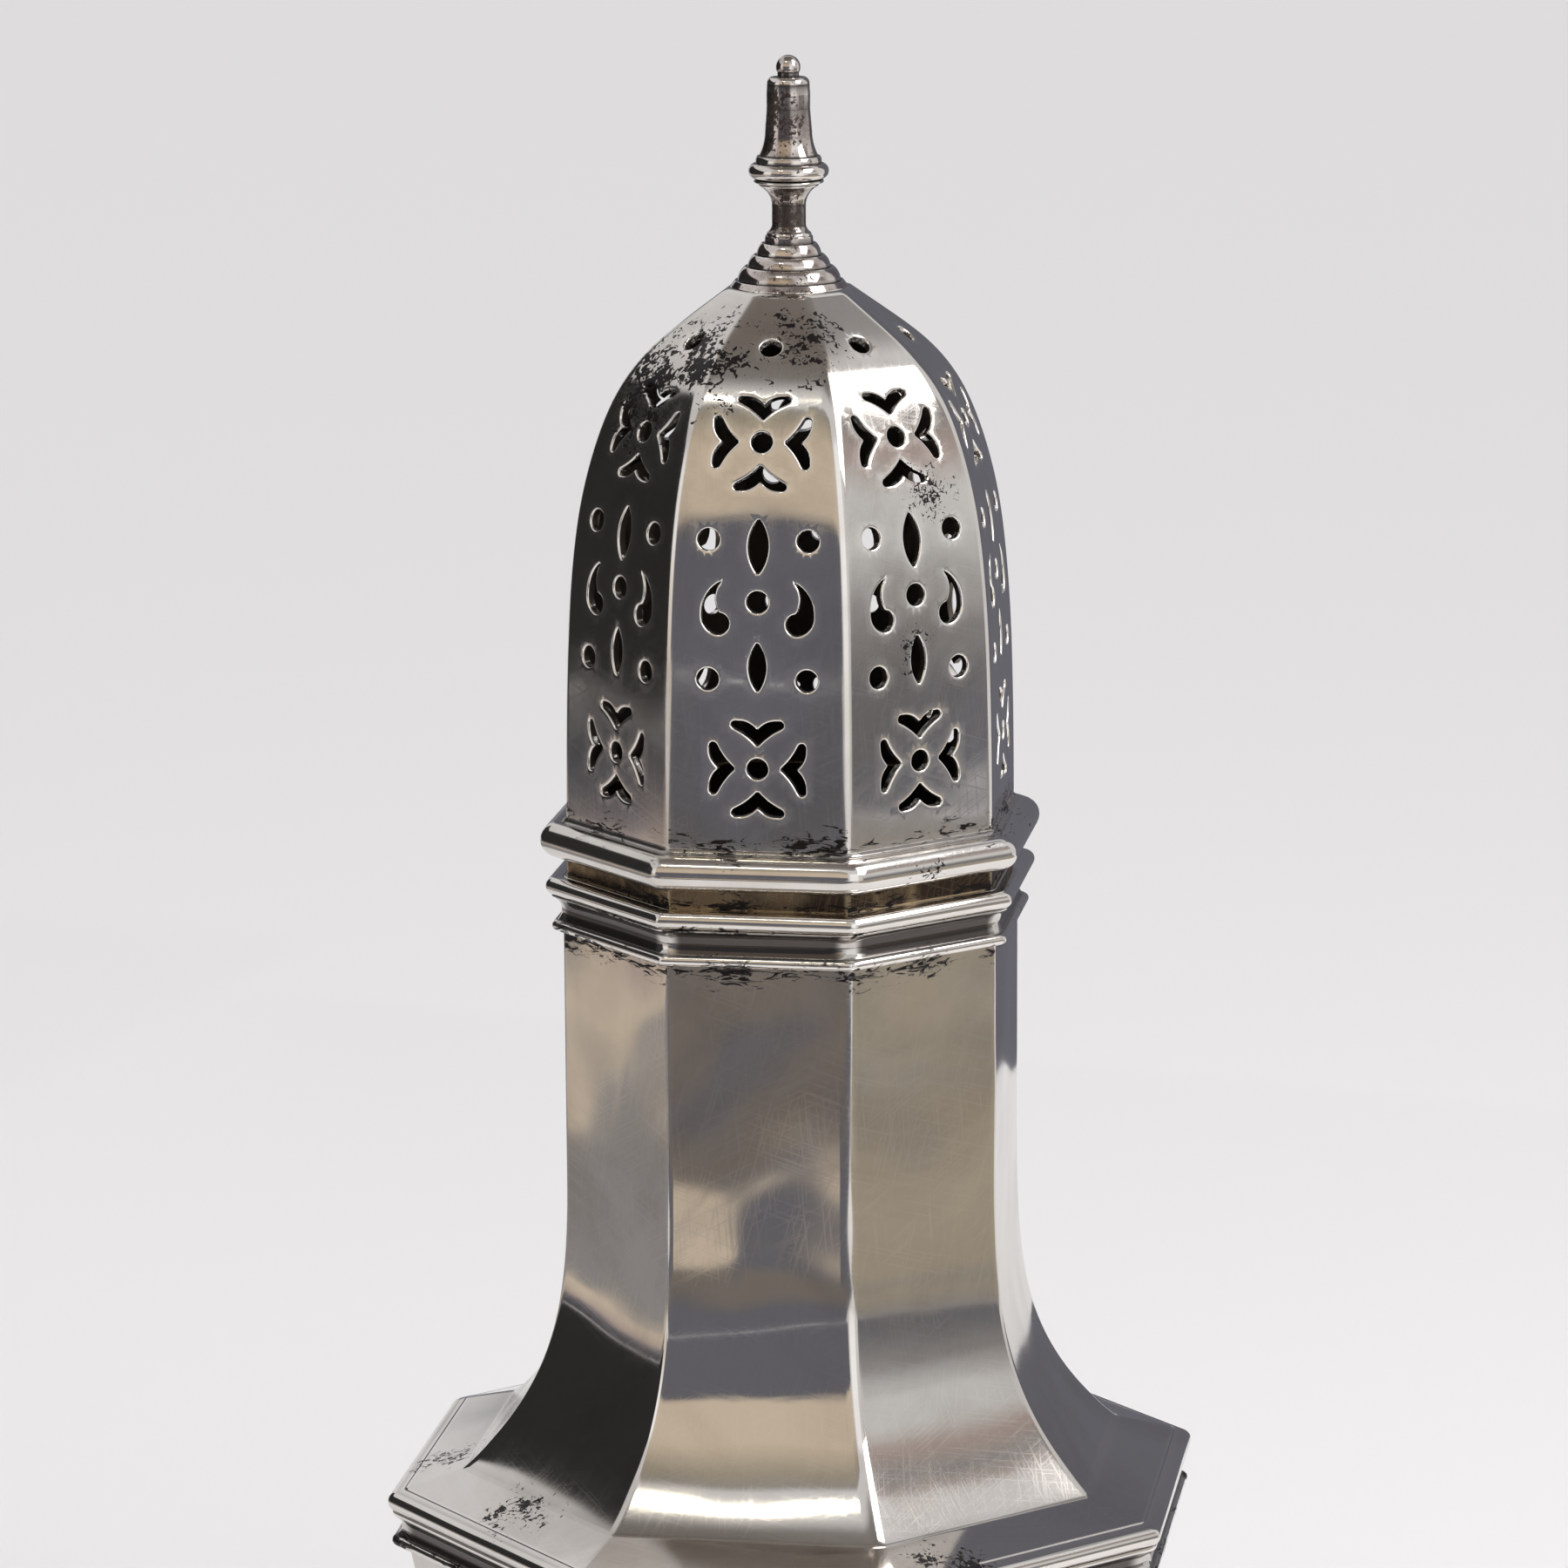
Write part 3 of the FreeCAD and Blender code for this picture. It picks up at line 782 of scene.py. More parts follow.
sleeveLoop = [(sleeveInner, sleeveBottom), (sleeveApothem - lead, sleeveBottom),
              (sleeveApothem, sleeveBottom + lead), (sleeveApothem, domeBase), (sleeveInner, domeBase)]
bandOuter = sleeveApothem + cover["bandLand"]
bandLoop = [(sleeveApothem, mouth), (bandOuter, mouth), (bandOuter, bandTop), (sleeveApothem, bandTop)]
for key, loop, radius, gap in (("Sleeve", sleeveLoop, 0.08, 0.15), ("Band", bandLoop, 0.06, 0.1)):
    addLoft("cover" + key, "cover_" + key.lower(), guard(soften(loop, radius), gap), sleeveFinish,
            cover["sleeveArris"])

dome = {
    "apothem": 20.88,
    "wall": 0.8,
    "moves": [("bend", 535.0, 1.6), ("bend", 150.0, 4.7), ("bend", 48.5, 15), ("bend", 17.0, 31.5),
              ("run", 6.9)],
    "ease": 2.2,
    "arris": 1.8,
    "arrisLoss": 0.6,  # how much sharper the arrises are inside
    "levelStep": 0.75,
    "edgeRound": 0.2,
    "rimWidth": 0.8,
    "hole": 1.04,
    "crossHole": 1.0,
    "crossReach": 4.65,
    "crossRises": [7.9, 39.0],
    "pairOffset": 4.74,
    "pairRises": [16.45, 29.7],
    "lenses": [(17.65, 4.8, 1.65), (29.1, 5.35, 1.9)],
    "eyeRise": 23.85,
    "topRise": 49.1,
    "commaRise": 20.7,
    "commaHeight": 5.1,
    "commaOffset": 3.8,
    "wingShares": [(0.00, 0.46, -0.035), (0.50, 0.84, -0.035), (0.43, 0.99, 0.08),
                   (0.00, 0.79, 0.065), (-0.43, 0.99, 0.065), (-0.50, 0.84, 0.08)],
    "commaShares": [(-0.07, 1.00, 0.11), (-0.03, 0.40, -0.11), (-0.21, 0.20, 0.06),
                    (0.00, 0.00, 0.06), (0.30, 0.38, 0.10)],
    "look": {
        "wornAmount": 0.8,
        "wornRoughness": 0.09,
        "seams": [(domeBase + 0.5, 2.3, 0.52), (bandTop + 0.2, 0.6, 0.4)],
        "patches": [((-7, -12.5, crown - 4), 8.5, 1700, 1.0), ((-13, -10, crown - 8), 8, 1700, 0.95),
                    ((3, -12, crown - 3), 6, 1700, 0.9), ((17.5, -19, bandTop + 1.0), 3.8, 2600, 0.9),
                    ((16, -14, domeBase + 12), 1.3, 1800, 1.3), ((16, -12, crown - 17), 4, 2300, 0.45),
                    ((14, -15, domeBase + 19), 3, 2300, 0.4), ((2, 14, crown - 5), 8, 2100, 0.7)],
    },
}
coverFinish = ("cover", "cover_silver", silverMaterial("coverSilver", dome["look"]))

coverNose = cover["reach"] - cover["bead"] / 2
beadTop = bandTop + cover["bead"]
ledge = dome["apothem"] + cover["fillet"]
coverRimSection = beadOutline(0, [
    (sleeveApothem, bandTop, 0),
    (coverNose, bandTop, 0),
    (coverNose, beadTop, cover["bead"] / 2),
    (ledge + cover["cove"], beadTop, 0),
    (ledge, domeBase, -cover["cove"] * 0.29),
    (sleeveApothem, domeBase, 0),
])
addLoft("coverRim", "cover_rim_moulding", coverRimSection, coverFinish, cover["arris"])


def moveLength(kind, size, *turn):
    return size if kind == "run" else size * math.radians(turn[0])


def sweptDomeAt(rise):
    # Apothem and height of the outer skin at a distance up the panel
    a, z, angle = dome["apothem"], domeBase, 0.0
    for kind, size, *turn in dome["moves"]:
        part = min(rise, moveLength(kind, size, *turn))
        if kind == "run":
            a, z = a - part * math.sin(angle), z + part * math.cos(angle)
        else:
            later = angle + part / size
            a += size * (math.cos(later) - math.cos(angle))
            z += size * (math.sin(later) - math.sin(angle))
            angle = later
        rise -= part
        if rise <= 0:
            break
    return a, z


# The eased skin of a panel as a table: how far up it, and the apothem, height and heading there
fineStep = 0.25
totalRise = sum(moveLength(*move) for move in dome["moves"])
domeRises = np.append(np.arange(0, totalRise, fineStep), totalRise)
domeLine = np.array(easedPath([sweptDomeAt(rise) for rise in domeRises], dome["ease"], fineStep))
domeTable = np.linspace(0, totalRise, len(domeLine))
domeTurn = np.unwrap(np.arctan2(-np.gradient(domeLine[:, 0]), np.gradient(domeLine[:, 1])))
levelCount = round(totalRise / dome["levelStep"])
levels = [totalRise * index / levelCount for index in range(levelCount + 1)]
edgeShares = np.linspace(-1, 1, 25)


def skinAt(rise, depth):
    a, z, angle = (float(np.interp(rise, domeTable, values)) for values in (*domeLine.T, domeTurn))
    return a - depth * math.cos(angle), z - depth * math.sin(angle)


def halfWidth(rise, depth):
    arris = dome["arris"] if depth < dome["wall"] else dome["arris"] - dome["arrisLoss"]
    apothem = skinAt(rise, depth)[0]
    return (apothem - min(arris, 0.45 * apothem)) * halfSide


def resample(outline, spacing):
    points = [Vector(p) for p in outline]
    lengths = [(points[(i + 1) % len(points)] - p).length for i, p in enumerate(points)]
    count = max(12, round(sum(lengths) / spacing))
    out, index, passed = [], 0, 0.0
    for step in range(count):
        wanted = sum(lengths) * step / count
        while passed + lengths[index] < wanted:
            passed += lengths[index]
            index += 1
        share = (wanted - passed) / max(lengths[index], 1e-9)
        out.append(tuple(points[index].lerp(points[(index + 1) % len(points)], share)))
    return out


def panelOutlines():
    outlines = []

    def cut(outline, rise, across=0, quarters=0):
        turn = Matrix.Rotation(math.pi / 2 * quarters, 2)
        outlines.append([tuple(turn @ Vector(p) + Vector((across, rise))) for p in outline])

    def circle(radius):
        angles = np.linspace(0, 2 * math.pi, 40, endpoint=False)
        return [(radius * math.cos(a), radius * math.sin(a)) for a in angles]

    def shaped(shares, size, radius):
        outline = bowed([tuple(v * size for v in row) for row in shares])
        return soften(outline, radius, sharpest=25, steps=5)

    wing = shaped(dome["wingShares"], dome["crossReach"], 0.3)
    comma = shaped(dome["commaShares"], dome["commaHeight"], 0.25)
    comma = [(x + dome["commaOffset"], y) for x, y in comma]
    for rise in (dome["topRise"], dome["eyeRise"]):
        cut(circle(dome["hole"]), rise)
    for rise in dome["crossRises"]:
        cut(circle(dome["crossHole"]), rise)
        for quarters in range(4):
            cut(wing, rise, 0, quarters)
    for rise in dome["pairRises"]:
        for across in (-dome["pairOffset"], dome["pairOffset"]):
            cut(circle(dome["hole"]), rise, across)
    for rise, length, width in dome["lenses"]:
        ends = [(0, -length / 2, width / 2), (0, length / 2, width / 2)]
        cut(soften(bowed(ends, 14), 0.12), rise)
    cut(comma, dome["commaRise"])
    outlines.append([(-x, y) for x, y in outlines[-1]][::-1])
    return [resample(outline, 0.24) for outline in outlines]


outlines = panelOutlines()


def distanceTo(points):
    # Least distance from each point to the outline of any opening
    starts = np.concatenate([np.array(o) for o in outlines])
    ends = np.concatenate([np.roll(np.array(o), -1, 0) for o in outlines])
    chord = ends - starts
    size = np.maximum((chord ** 2).sum(1), 1e-12)
    least = np.full(len(points), 1e9)
    for first in range(0, len(points), 500):
        some = points[first:first + 500]
        share = np.clip(((some[:, None] - starts) * chord).sum(2) / size, 0, 1)
        near = starts + share[..., None] * chord
        least[first:first + 500] = np.sqrt(((some[:, None] - near) ** 2).sum(2)).min(1)
    return least


def insideAny(points):
    hit = np.zeros(len(points), bool)
    for outline in outlines:
        a = np.array(outline)
        b = np.roll(a, -1, 0)
        x, y = points[:, :1], points[:, 1:]
        crosses = (a[:, 1] > y) != (b[:, 1] > y)
        climb = np.where(b[:, 1] == a[:, 1], 1e-12, b[:, 1] - a[:, 1])
        reach = a[:, 0] + (y - a[:, 1]) / climb * (b[:, 0] - a[:, 0])
        hit |= (crosses & (x < reach)).sum(1) % 2 == 1
    return hit


def skinTriangles(depth, rings, gridStep):
    # Triangles of one panel's skin, across and up the panel, with the piercings left open
    points, edges = [], []

    def addLoop(loop):
        first = len(points)
        points.extend(loop)
        edges.extend((first + i, first + (i + 1) % len(loop)) for i in range(len(loop)))

    def limitsAt(rises):
        return np.array([halfWidth(max(0, min(totalRise, rise)), depth) for rise in rises])

    for outline in outlines:
        addLoop(outline)
    border = [(halfWidth(0, depth) * share, 0) for share in edgeShares]
    border += [(halfWidth(rise, depth), rise) for rise in levels[1:-1]]
    border += [(halfWidth(totalRise, depth) * share, totalRise) for share in edgeShares[::-1]]
    border += [(-halfWidth(rise, depth), rise) for rise in levels[-2:0:-1]]
    addLoop(border)
    # Rings of points round each opening carry its worn edge, and a looser grid fills the rest
    ringed = []
    for outline in outlines:
        for index, point in enumerate(outline):
            along = Vector(outline[(index + 1) % len(outline)]) - Vector(outline[index - 1])
            away = Vector((along.y, -along.x)).normalized()
            for ring in rings:
                if ring < 0.3 or index % 2 == 0:
                    ringed.append((point[0] + away.x * ring, point[1] + away.y * ring, ring))
    ringed = np.array(ringed)
    ringed = ringed[distanceTo(ringed[:, :2]) > 0.93 * ringed[:, 2]]
    grid = []
    for index, rise in enumerate(levels[1:-1]):
        half = halfWidth(rise, depth)
        count = max(2, round(2 * half / gridStep))
        grid.extend((half * share * 0.97, rise) for share in (-1, 1))
        if index % max(1, round(gridStep / dome["levelStep"])) == 0:
            grid.extend((half * (2 * (step + 0.5) / count - 1), rise) for step in range(count))
    grid = np.array(grid)
    grid = grid[(distanceTo(grid) > max(rings) + 0.18) & ~insideAny(grid)]
    inner = np.concatenate([ringed[:, :2], grid])
    inRange = (inner[:, 1] > 0.1) & (inner[:, 1] < totalRise - 0.1)
    inner = inner[(np.abs(inner[:, 0]) < limitsAt(inner[:, 1]) - 0.05) & inRange]
    points.extend(map(tuple, inner))
    made = delaunay_2d_cdt([Vector(p) for p in points], edges, [], 0, 1e-5)
    places = np.array([tuple(p) for p in made[0]])
    triangles = np.array([tuple(f) for f in made[2]])
    centres = places[triangles].mean(1)
    good = (np.abs(centres[:, 0]) < limitsAt(centres[:, 1])) & ~insideAny(centres)
    return places, triangles[good]


def roundedDepth(distance, radius):
    # How far the worn edge of an opening falls below the skin
    lost = np.clip(radius - distance, 0, radius)
    return radius - np.sqrt(np.maximum(radius ** 2 - lost ** 2, 0))


def placeSkin(places, depths):
    out = []
    for (across, rise), depth in zip(places, depths):
        a, z = skinAt(rise, depth)
        out.append((across, -a, z))
    return out


def domeMesh():
    wall = dome["wall"]
    outerPlaces, outerFaces = skinTriangles(0, (0.04, 0.1, 0.2, 0.36), 0.95)
    innerPlaces, innerFaces = skinTriangles(wall, (0.3,), 1.5)
    panel = placeSkin(outerPlaces, roundedDepth(distanceTo(outerPlaces), dome["edgeRound"]))
    innerStart = len(panel)
    panel += placeSkin(innerPlaces, [wall] * len(innerPlaces))
    faces = [tuple(f) for f in outerFaces] + [tuple(v + innerStart for v in f[::-1]) for f in innerFaces]
    first = 0
    for outline in outlines:
        count = len(outline)
        for index in range(count):
            here, after = first + index, first + (index + 1) % count
            faces.append((after, here, here + innerStart, after + innerStart))
        first += count
    vertices, allFaces = [], []
    for side in range(sides):
        turn = Matrix.Rotation(sideTurn * side, 3, "Z")
        start = len(vertices)
        vertices.extend(tuple(turn @ Vector(p)) for p in panel)
        allFaces.extend(tuple(v + start for v in f) for f in faces)
    # Arrises between the panels, and the rings that close the two skins at the foot and the crown
    rings = {}
    for depth in (0, wall):
        for side in range(sides):
            facing, along = panelAxes(side)
            strip = []
            for rise in levels:
                a, z = skinAt(rise, depth)
                half = halfWidth(rise, depth)
                arris = a - half / halfSide
                centre = facing * (a - arris) + along * half
                row = []
                for step in range(arcSteps + 1):
                    bend = sideTurn * step / arcSteps
                    spot = centre + (facing * math.cos(bend) + along * math.sin(bend)) * arris
                    row.append(len(vertices))
                    vertices.append((spot.x, spot.y, z))
                strip.append(row)
            for low, high in zip(strip, strip[1:]):
                for step in range(arcSteps):
                    face = (low[step], low[step + 1], high[step + 1], high[step])
                    allFaces.append(face if depth == 0 else face[::-1])
            for key, rise, row in (("foot", 0, strip[0]), ("crown", totalRise, strip[-1])):
                a, z = skinAt(rise, depth)
                half = halfWidth(rise, depth)
                ring = rings.setdefault((key, depth), [])
                for share in edgeShares:
                    spot = facing * a + along * half * share
                    ring.append(len(vertices))
                    vertices.append((spot.x, spot.y, z))
                ring.extend(row[1:-1])
    outer, inner = rings["foot", 0], rings["foot", wall]
    for index in range(len(outer)):
        after = (index + 1) % len(outer)
        allFaces.append((outer[after], outer[index], inner[index], inner[after]))
    allFaces.append(tuple(rings["crown", 0]))
    allFaces.append(tuple(rings["crown", wall][::-1]))
    return meshFrom("coverDome", vertices, allFaces)


def openingHalo(places):
    # A worn border round every opening, found by unrolling each point onto its panel
    angle = np.arctan2(places[:, 1], places[:, 0]) + math.pi / 2
    local = angle - np.round(angle / sideTurn) * sideTurn
    reach = np.hypot(places[:, 0], places[:, 1])
    across, apothem = reach * np.sin(local), reach * np.cos(local)
    samples = np.linspace(0, totalRise, 240)
    line = np.array([skinAt(rise, 0) for rise in samples])
    gap = (apothem[:, None] - line[:, 0]) ** 2 + (places[:, 2:] - line[:, 1]) ** 2
    far = distanceTo(np.stack([across, samples[gap.argmin(1)]], 1))
    outside = np.sqrt(gap.min(1)) < 0.3
    return np.clip(1 - far / dome["rimWidth"], 0, 1) * outside


domeShape = domeMesh()
tidyMesh(domeShape, 60)
markWear(domeShape, openingHalo)
for face in domeShape.polygons:
    # The far skin and the walls of the openings take the inner finish, painted dark as shade
    angle = math.atan2(face.center.y, face.center.x)
    panelAngle = round((angle + math.pi / 2) / sideTurn) * sideTurn - math.pi / 2
    facing = face.normal.x * math.cos(panelAngle) + face.normal.y * math.sin(panelAngle)
    face.material_index = int(facing < 0.15 and face.normal.z < 0.5)
addPiece("coverDome", "cover_dome", domeShape, coverFinish, lined=True)
print("stage: cover, dome has", len(domeShape.polygons), "faces")


# Finial: a stepped boss and a turned knop with a ball
finial = {
    "bossRadius": 5.72,
    "bossShares": [(1.00, 0.00, 0.0), (0.915, 0.13, 0.0), (0.87, 0.12, 0.0), (0.745, 0.40, 0.03),
                   (0.70, 0.39, 0.0), (0.59, 0.63, 0.025), (0.545, 0.62, 0.0), (0.46, 0.86, 0.02),
                   (0.415, 0.85, 0.0), (0.40, 1.00, 0.0)],
    "knopRadius": 3.96,
    "knopHeight": 15.7,
    "knopShares": [(0.545, 0.00, 0.0), (0.53, 0.02, 0.01), (0.412, 0.065, -0.02), (0.412, 0.19, 0.0),
                   (0.72, 0.308, -0.075), (0.725, 0.32, 0.01), (0.70, 0.323, 0.0), (0.84, 0.327, 0.0),
                   (0.84, 0.342, 0.01), (0.80, 0.35, 0.0), (0.80, 0.446, 0.175), (0.77, 0.488, 0.015),
                   (0.715, 0.492, 0.0), (0.57, 0.64, -0.035), (0.525, 0.78, 0.0), (0.53, 0.87, 0.0),
                   (0.515, 0.925, 0.0), (0.43, 0.968, 0.03), (0.26, 0.975, 0.0), (0.26, 1.00, 0.0)],
    "ballRadius": 1.17,
    "ballLift": 0.45,
    "pegRadius": 0.9,
    "pegEnd": 0.6,
    "pegClearance": 0.05,
    "look": {
        "silver": (0.66, 0.60, 0.56), "film": (0.27, 0.21, 0.19), "filmScale": 260.0, "filmAmount": 0.95,
        # Strong creases: tarnish with painted shade in the grooves of the finial
        "creaseTarnishAndShade": 1.0, "waveDepth": 0.00001, "sulphide": (0.06, 0.043, 0.038),
        "tarnishAndShade": (0.02, 0.016, 0.015),
        "patches": [((-1.6, -3, bossTop + 11), 6.0, 2400, 0.5), ((0, 3, bossTop + 10), 6, 2400, 0.7),
                    ((-1.5, -1.5, bossTop + 2), 4, 2400, 0.75), ((0, -5, crown + 0.3), 5, 2400, 0.45)],
    },
}
finialFinish = ("cover", "finial_silver", silverMaterial("finialSilver", finial["look"]))


def turnedOutline(shares, radius, height, base):
    return [(r * radius, base + h * height, bow * radius) for r, h, bow in shares]


# The hole down the boss and the peg that fills it close the two sections
pegRadius, ballRadius = finial["pegRadius"], finial["ballRadius"]
pegHole = pegRadius + finial["pegClearance"]
bossOutline = turnedOutline(finial["bossShares"], finial["bossRadius"], bossTop - crown, crown)
bossProfile = soften(bowed([(pegHole, crown, 0)] + bossOutline + [(pegHole, bossTop, 0)]), 0.06, sharpest=24)
addLoft("finialBoss", "finial_boss", guard(bossProfile, 0.05), finialFinish)

pegBottom = crown - dome["wall"] - finial["pegEnd"]
ballCentre = bossTop + finial["knopHeight"] + finial["ballLift"]
ballStart = math.asin(finial["knopShares"][-1][0] * finial["knopRadius"] / ballRadius)
knopOutline = [(0, pegBottom, 0), (pegRadius, pegBottom, 0), (pegRadius, bossTop, 0)]
knopOutline += turnedOutline(finial["knopShares"], finial["knopRadius"], finial["knopHeight"], bossTop)
knopOutline += [(ballRadius * math.sin(a), ballCentre - ballRadius * math.cos(a), 0)
                for a in np.linspace(ballStart, math.pi, 18)[1:-1]]
knopOutline.append((0, ballCentre + ballRadius, 0))
knopProfile = soften(bowed(knopOutline, 10), 0.06, closed=False, sharpest=24)
addLoft("finialKnop", "finial_knop", guard(knopProfile, 0.05, closed=False), finialFinish, closed=False)
print("stage: finial")


# Studio: pale floor, soft lamps, cards that only show in the polish, and the camera
studio = {
    "floorColour": (0.76, 0.755, 0.76),
    "floorRadius": 3.6,
    "worldColour": (0.38, 0.37, 0.37),
    "backdropColour": (0.73, 0.72, 0.725),
    "fill": {"strength": 2.05, "azimuth": 60, "elevation": 62, "spread": 70},
    "lamps": [
        # name, azimuth, elevation, lean, distance, width, height, power, colour
        ("sideSoftbox", 77, 44, -34, 0.52, 0.20, 0.42, 1.25, (1.0, 0.985, 0.99)),
        ("frontLamp", -24, 57, 0, 1.0, 0.16, 0.03, 0.25, (1.0, 0.96, 0.80)),
    ],
    # Plain card stock, as a maker would keep it: a few papers, each one colour
    "papers": {
        "black": (0.03, 0.03, 0.03),
        "slate": (0.145, 0.146, 0.17),
        "umber": (0.20, 0.175, 0.155),
        "grey": (0.30, 0.29, 0.29),
        "blush": (0.46, 0.38, 0.35),
        "olive": (0.42, 0.37, 0.29),
        "cream": (0.68, 0.58, 0.46),
        "pale": (0.70, 0.70, 0.70),
        "white": (1.10, 1.10, 1.10),
    },
    "wallCards": [
        # name, azimuth, distance, width, top, edge fade, then share of the height and paper upwards
        ("leftFlag", -108, 0.72, 1.3, 0.55, 0.05, [(0.0, "black"), (1.0, "black")]),
        ("frontCard", -14, 1.1, 1.5, 1.6, 0.1, [
            (0.0, "slate"), (0.225, "slate"), (0.25, "cream"), (0.5, "cream"), (0.75, "olive"),
            (1.0, "grey")]),
        ("rightCard", 84, 0.6, 0.42, 0.62, 0.08, [
            (0.0, "slate"), (0.15, "grey"), (0.3, "pale"), (0.45, "pale"), (0.6, "blush"), (0.8, "grey"),
            (1.0, "blush")]),
        ("cornerCard", 38, 0.7, 0.45, 0.7, 0.2, [(0.0, "white"), (1.0, "white")]),
        ("warmCard", -55, 0.8, 0.44, 0.6, 0.3, [(0.0, "cream"), (0.4, "white"), (1.0, "white")]),
        ("backFlag", 168, 0.34, 0.5, 0.5, 0.1, [(0.0, "slate"), (1.0, "slate")]),
    ],
    "wallUneven": 0.07,
    "levelCards": [
        # name, azimuth, height, near edge, far edge, width, edge fade, then share of the reach and paper
        ("topFlag", 0, 1.5, -1.0, 0.75, 1.8, 0.2, [(0.0, "grey"), (0.5, "umber"), (1.0, "grey")]),
        ("frontFloor", -12, 0.001, 0.24, 1.08, 0.75, 0.03, [
            (0.0, "slate"), (0.12, "slate"), (0.18, "umber"), (0.28, "umber"), (0.34, "slate"),
            (1.0, "slate")]),
        ("rightFloor", 82, 0.001, 0.24, 0.6, 0.5, 0.03, [
            (0.0, "olive"), (0.28, "olive"), (0.36, "grey"), (0.44, "olive"), (1.0, "grey")]),
        ("leftFloor", -104, 0.001, 0.24, 0.72, 0.75, 0.03, [
            (0.0, "grey"), (0.3, "grey"), (0.38, "cream"), (0.58, "blush"), (0.66, "slate"), (1.0, "black")]),
    ],
    "levelUneven": 0.26,
    "ovalCards": [
        # name, azimuth, distance, half width, half length, paper
        ("creamOval", -12.6, 0.327, 0.033, 0.04, "cream"),
    ],
    "wallFoot": 0.002,
    "ovalHeight": 0.0015,
    "unevenScale": 38.0,
}


def aimed(azimuth, elevation, distance, target=Vector((0, 0, 0.11))):
    a, e = math.radians(azimuth), math.radians(elevation)
    back = Vector((math.sin(a) * math.cos(e), -math.cos(a) * math.cos(e), math.sin(e)))
    return Matrix.Translation(target + back * distance) @ back.to_track_quat("Z", "Y").to_matrix().to_4x4()


def addSheet(name, corners, material):
    mesh = bpy.data.meshes.new(name)
    mesh.from_pydata(corners, [], [tuple(range(len(corners)))])
    mesh.materials.append(material)
    sheet = link(name, mesh)
    return sheet


floorMaterial, floorTree = newMaterial("paleFloor")
floorLook = {"Base Color": (*studio["floorColour"], 1), "Roughness": 0.75}
setInputs(floorTree, floorTree.nodes["Principled BSDF"], floorLook)
addSheet("floor", [Vector(p) * studio["floorRadius"] for p in circleRow(1, 0, 64)], floorMaterial)

for name, azimuth, elevation, lean, distance, width, height, power, colour in studio["lamps"]:
    lamp = bpy.data.lights.new(name, "AREA")
    lamp.shape, lamp.size, lamp.size_y = "RECTANGLE", width, height
    lamp.energy, lamp.color = power, colour
    holder = link(name, lamp)
    holder.matrix_world = aimed(azimuth, elevation, distance) @ Matrix.Rotation(math.radians(lean), 4, "Z")
    holder.visible_camera = False

fill = bpy.data.lights.new("fill", "SUN")
fill.energy, fill.angle = studio["fill"]["strength"], math.radians(studio["fill"]["spread"])
fillHolder = link("fill", fill)
fillHolder.matrix_world = aimed(studio["fill"]["azimuth"], studio["fill"]["elevation"], 2)
fillHolder.visible_glossy = False


def cardMaterial(name, stops, fade, upright):
    # A softly edged glow, graded from the foot or near edge of the card to its top or far edge
    material, tree = newMaterial(name)
    tree.nodes.clear()
    place = put(tree, "SeparateXYZ", {"Vector": put(tree, "TexCoord").outputs["Generated"]}).outputs
    along = place["Z"] if upright else calc(tree, "SUBTRACT", 1.0, place["Y"])
    cloud = noise(tree, put(tree, "TexCoord").outputs["Object"], studio["unevenScale"], 1.0)
    uneven = studio["wallUneven" if upright else "levelUneven"]
    drift = times(tree, calc(tree, "SUBTRACT", cloud, 0.5), uneven)
    ramp = put(tree, "ValToRGB", {"Fac": calc(tree, "ADD", along, drift)})
    points = ramp.color_ramp.elements
    while len(points) < len(stops):
        points.new(0.5)
    for point, (share, paper) in zip(points, stops):
        point.position, point.color = share, (*studio["papers"][paper], 1)
    solid = times(tree, remap(tree, place["X"], 0.0, fade), remap(tree, place["X"], 1.0, 1 - fade))
    solid = times(tree, solid, remap(tree, along, 1.0, 1 - fade))
    glow = put(tree, "Emission", {"Color": ramp.outputs["Color"]}).outputs[0]
    clear = put(tree, "BsdfTransparent").outputs[0]
    put(tree, "OutputMaterial", {"Surface": put(tree, "MixShader", {0: solid, 1: clear, 2: glow}).outputs[0]})
    return material


def paperMaterial(name, paper):
    material, tree = newMaterial(name)
    tree.nodes.clear()
    glow = put(tree, "Emission", {"Color": (*studio["papers"][paper], 1)}).outputs[0]
    put(tree, "OutputMaterial", {"Surface": glow})
    return material


def addCard(name, azimuth, corners, material):
    # The corners are given out from the axis, and the card is turned to its azimuth
    card = addSheet(name, corners, material)
    card.matrix_world = Matrix.Rotation(math.radians(azimuth), 4, "Z")
    card.visible_camera = card.visible_shadow = card.visible_diffuse = False


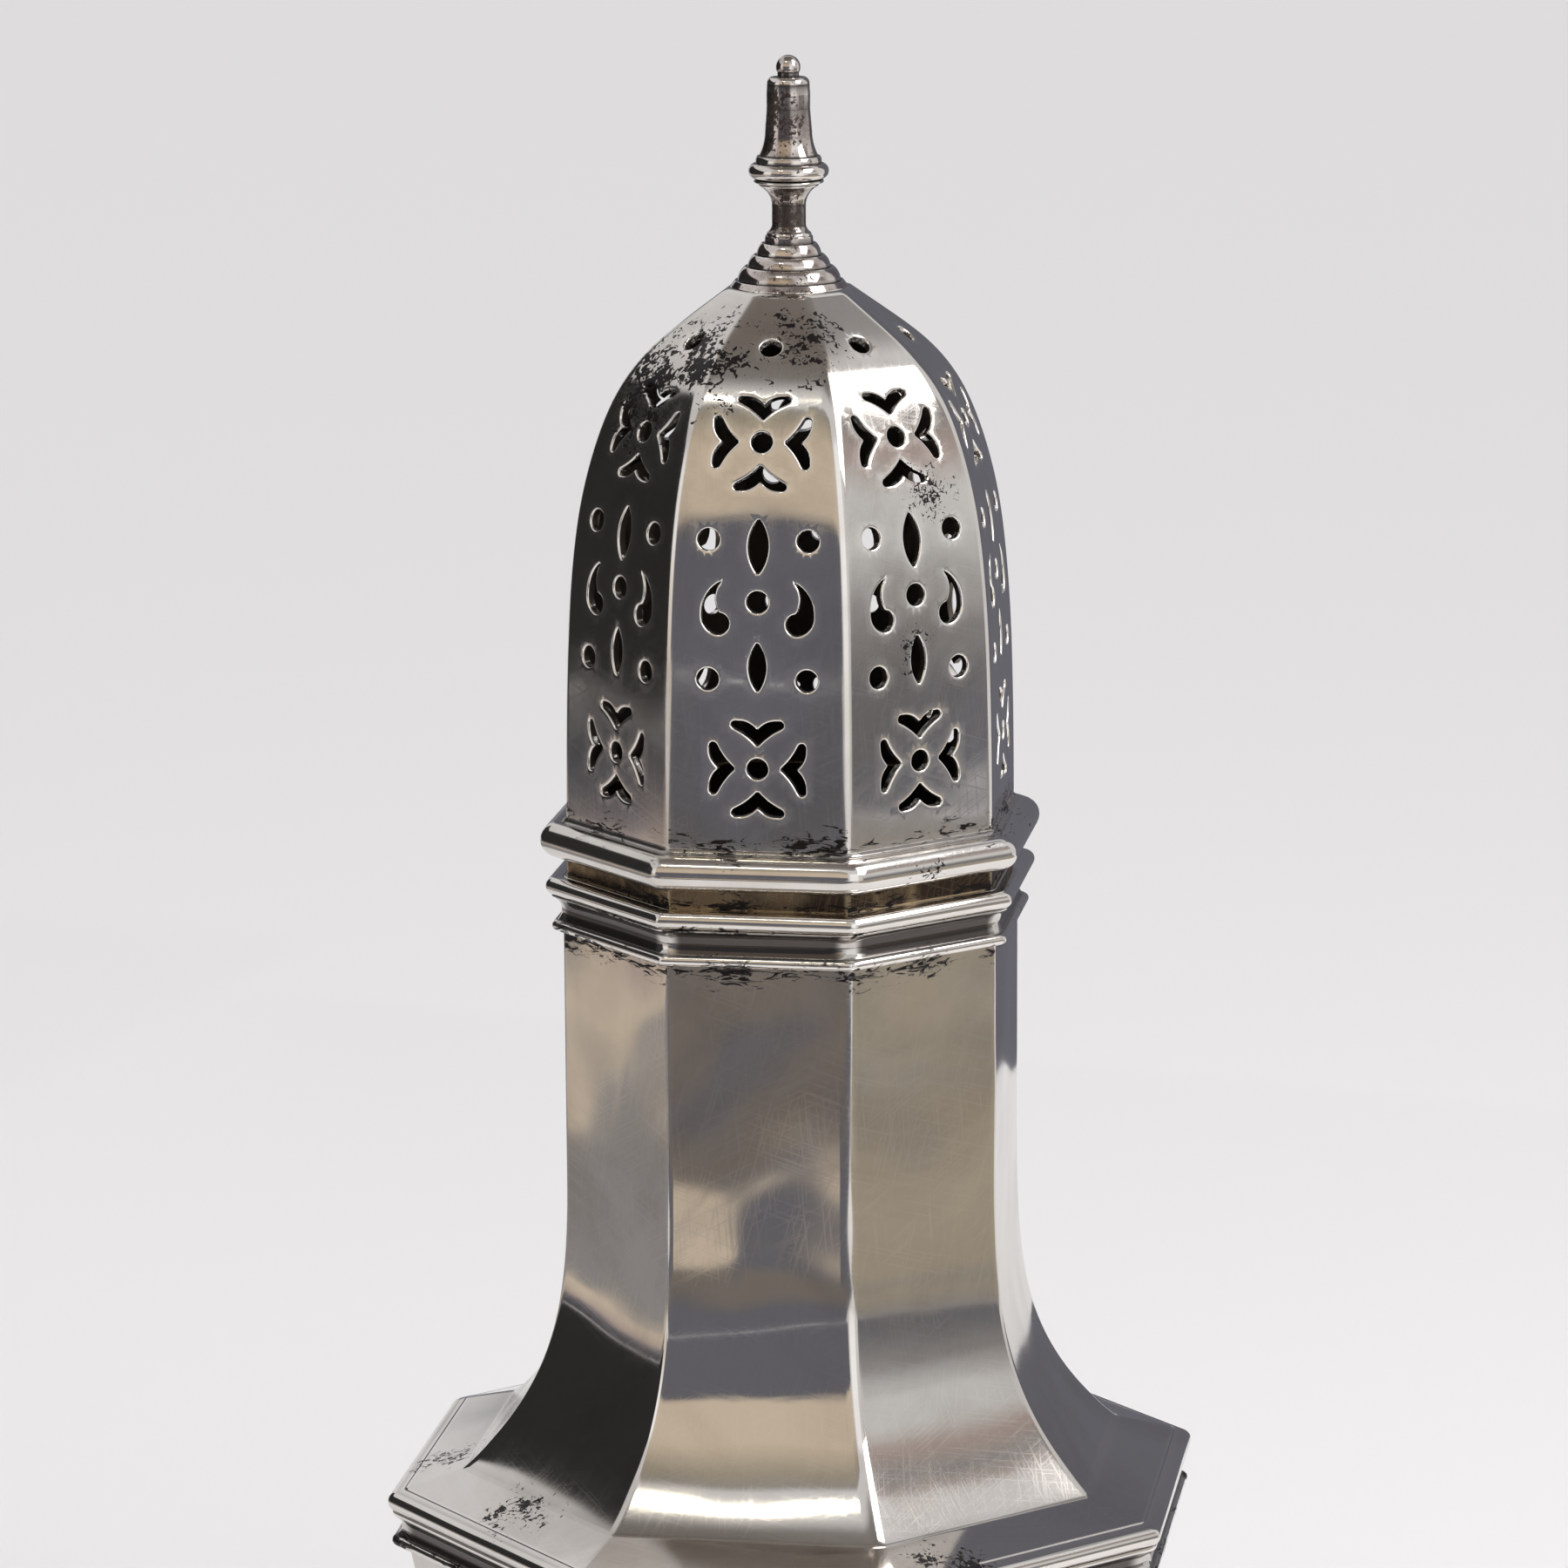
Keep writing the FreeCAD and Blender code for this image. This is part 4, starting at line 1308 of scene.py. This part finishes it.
for name, azimuth, distance, width, top, fade, stops in studio["wallCards"]:
    half, low = width / 2, studio["wallFoot"]
    corners = [(x, -distance, z) for x, z in ((-half, low), (half, low), (half, top), (-half, top))]
    addCard(name, azimuth, corners, cardMaterial(name, stops, fade, True))
for name, azimuth, height, near, far, width, fade, stops in studio["levelCards"]:
    half = width / 2
    corners = [(x, -y, height) for x, y in ((half, near), (-half, near), (-half, far), (half, far))]
    addCard(name, azimuth, corners, cardMaterial(name, stops, fade, False))
for name, azimuth, distance, wide, long, paper in studio["ovalCards"]:
    corners = [(wide * x, long * y - distance, studio["ovalHeight"]) for x, y, z in circleRow(1, 0, 48)]
    addCard(name, azimuth, corners, paperMaterial(name, paper))

world = bpy.data.worlds.new("studioWorld")
bpy.context.scene.world = world
world.use_nodes = True
# The pale background is there for the camera, the polish and anything clear, and gives no more light
worldTree = world.node_tree
rays = put(worldTree, "LightPath").outputs
seen = largestOf(worldTree, [rays["Is " + kind + " Ray"] for kind in ("Camera", "Glossy", "Transmission")])
backdrop = blendColour(worldTree, seen, studio["worldColour"], studio["backdropColour"])
setInputs(worldTree, worldTree.nodes["Background"], {"Color": backdrop})

view = {"azimuth": 8.932, "distance": 0.624, "aside": 0.000564, "height": 0.25407, "pitch": 12.209,
        "roll": -0.2746, "lens": 149.938, "sensor": 36, "shiftX": -0.0086, "shiftY": -0.001408}
cameraData = bpy.data.cameras.new("photoCamera")
cameraData.lens, cameraData.sensor_width = view["lens"], view["sensor"]
cameraData.shift_x, cameraData.shift_y = view["shiftX"], view["shiftY"]
cameraData.clip_start, cameraData.clip_end = 0.01, 20
camera = link("photoCamera", cameraData)
camera.matrix_world = (
    Matrix.Rotation(math.radians(view["azimuth"]), 4, "Z")
    @ Matrix.Translation((view["aside"], -view["distance"], view["height"]))
    @ Matrix.Rotation(math.radians(90 - view["pitch"]), 4, "X")
    @ Matrix.Rotation(math.radians(view["roll"]), 4, "Z")
)
bpy.context.scene.camera = camera
bpy.context.scene.view_settings.view_transform = "Standard"
print("stage: studio")
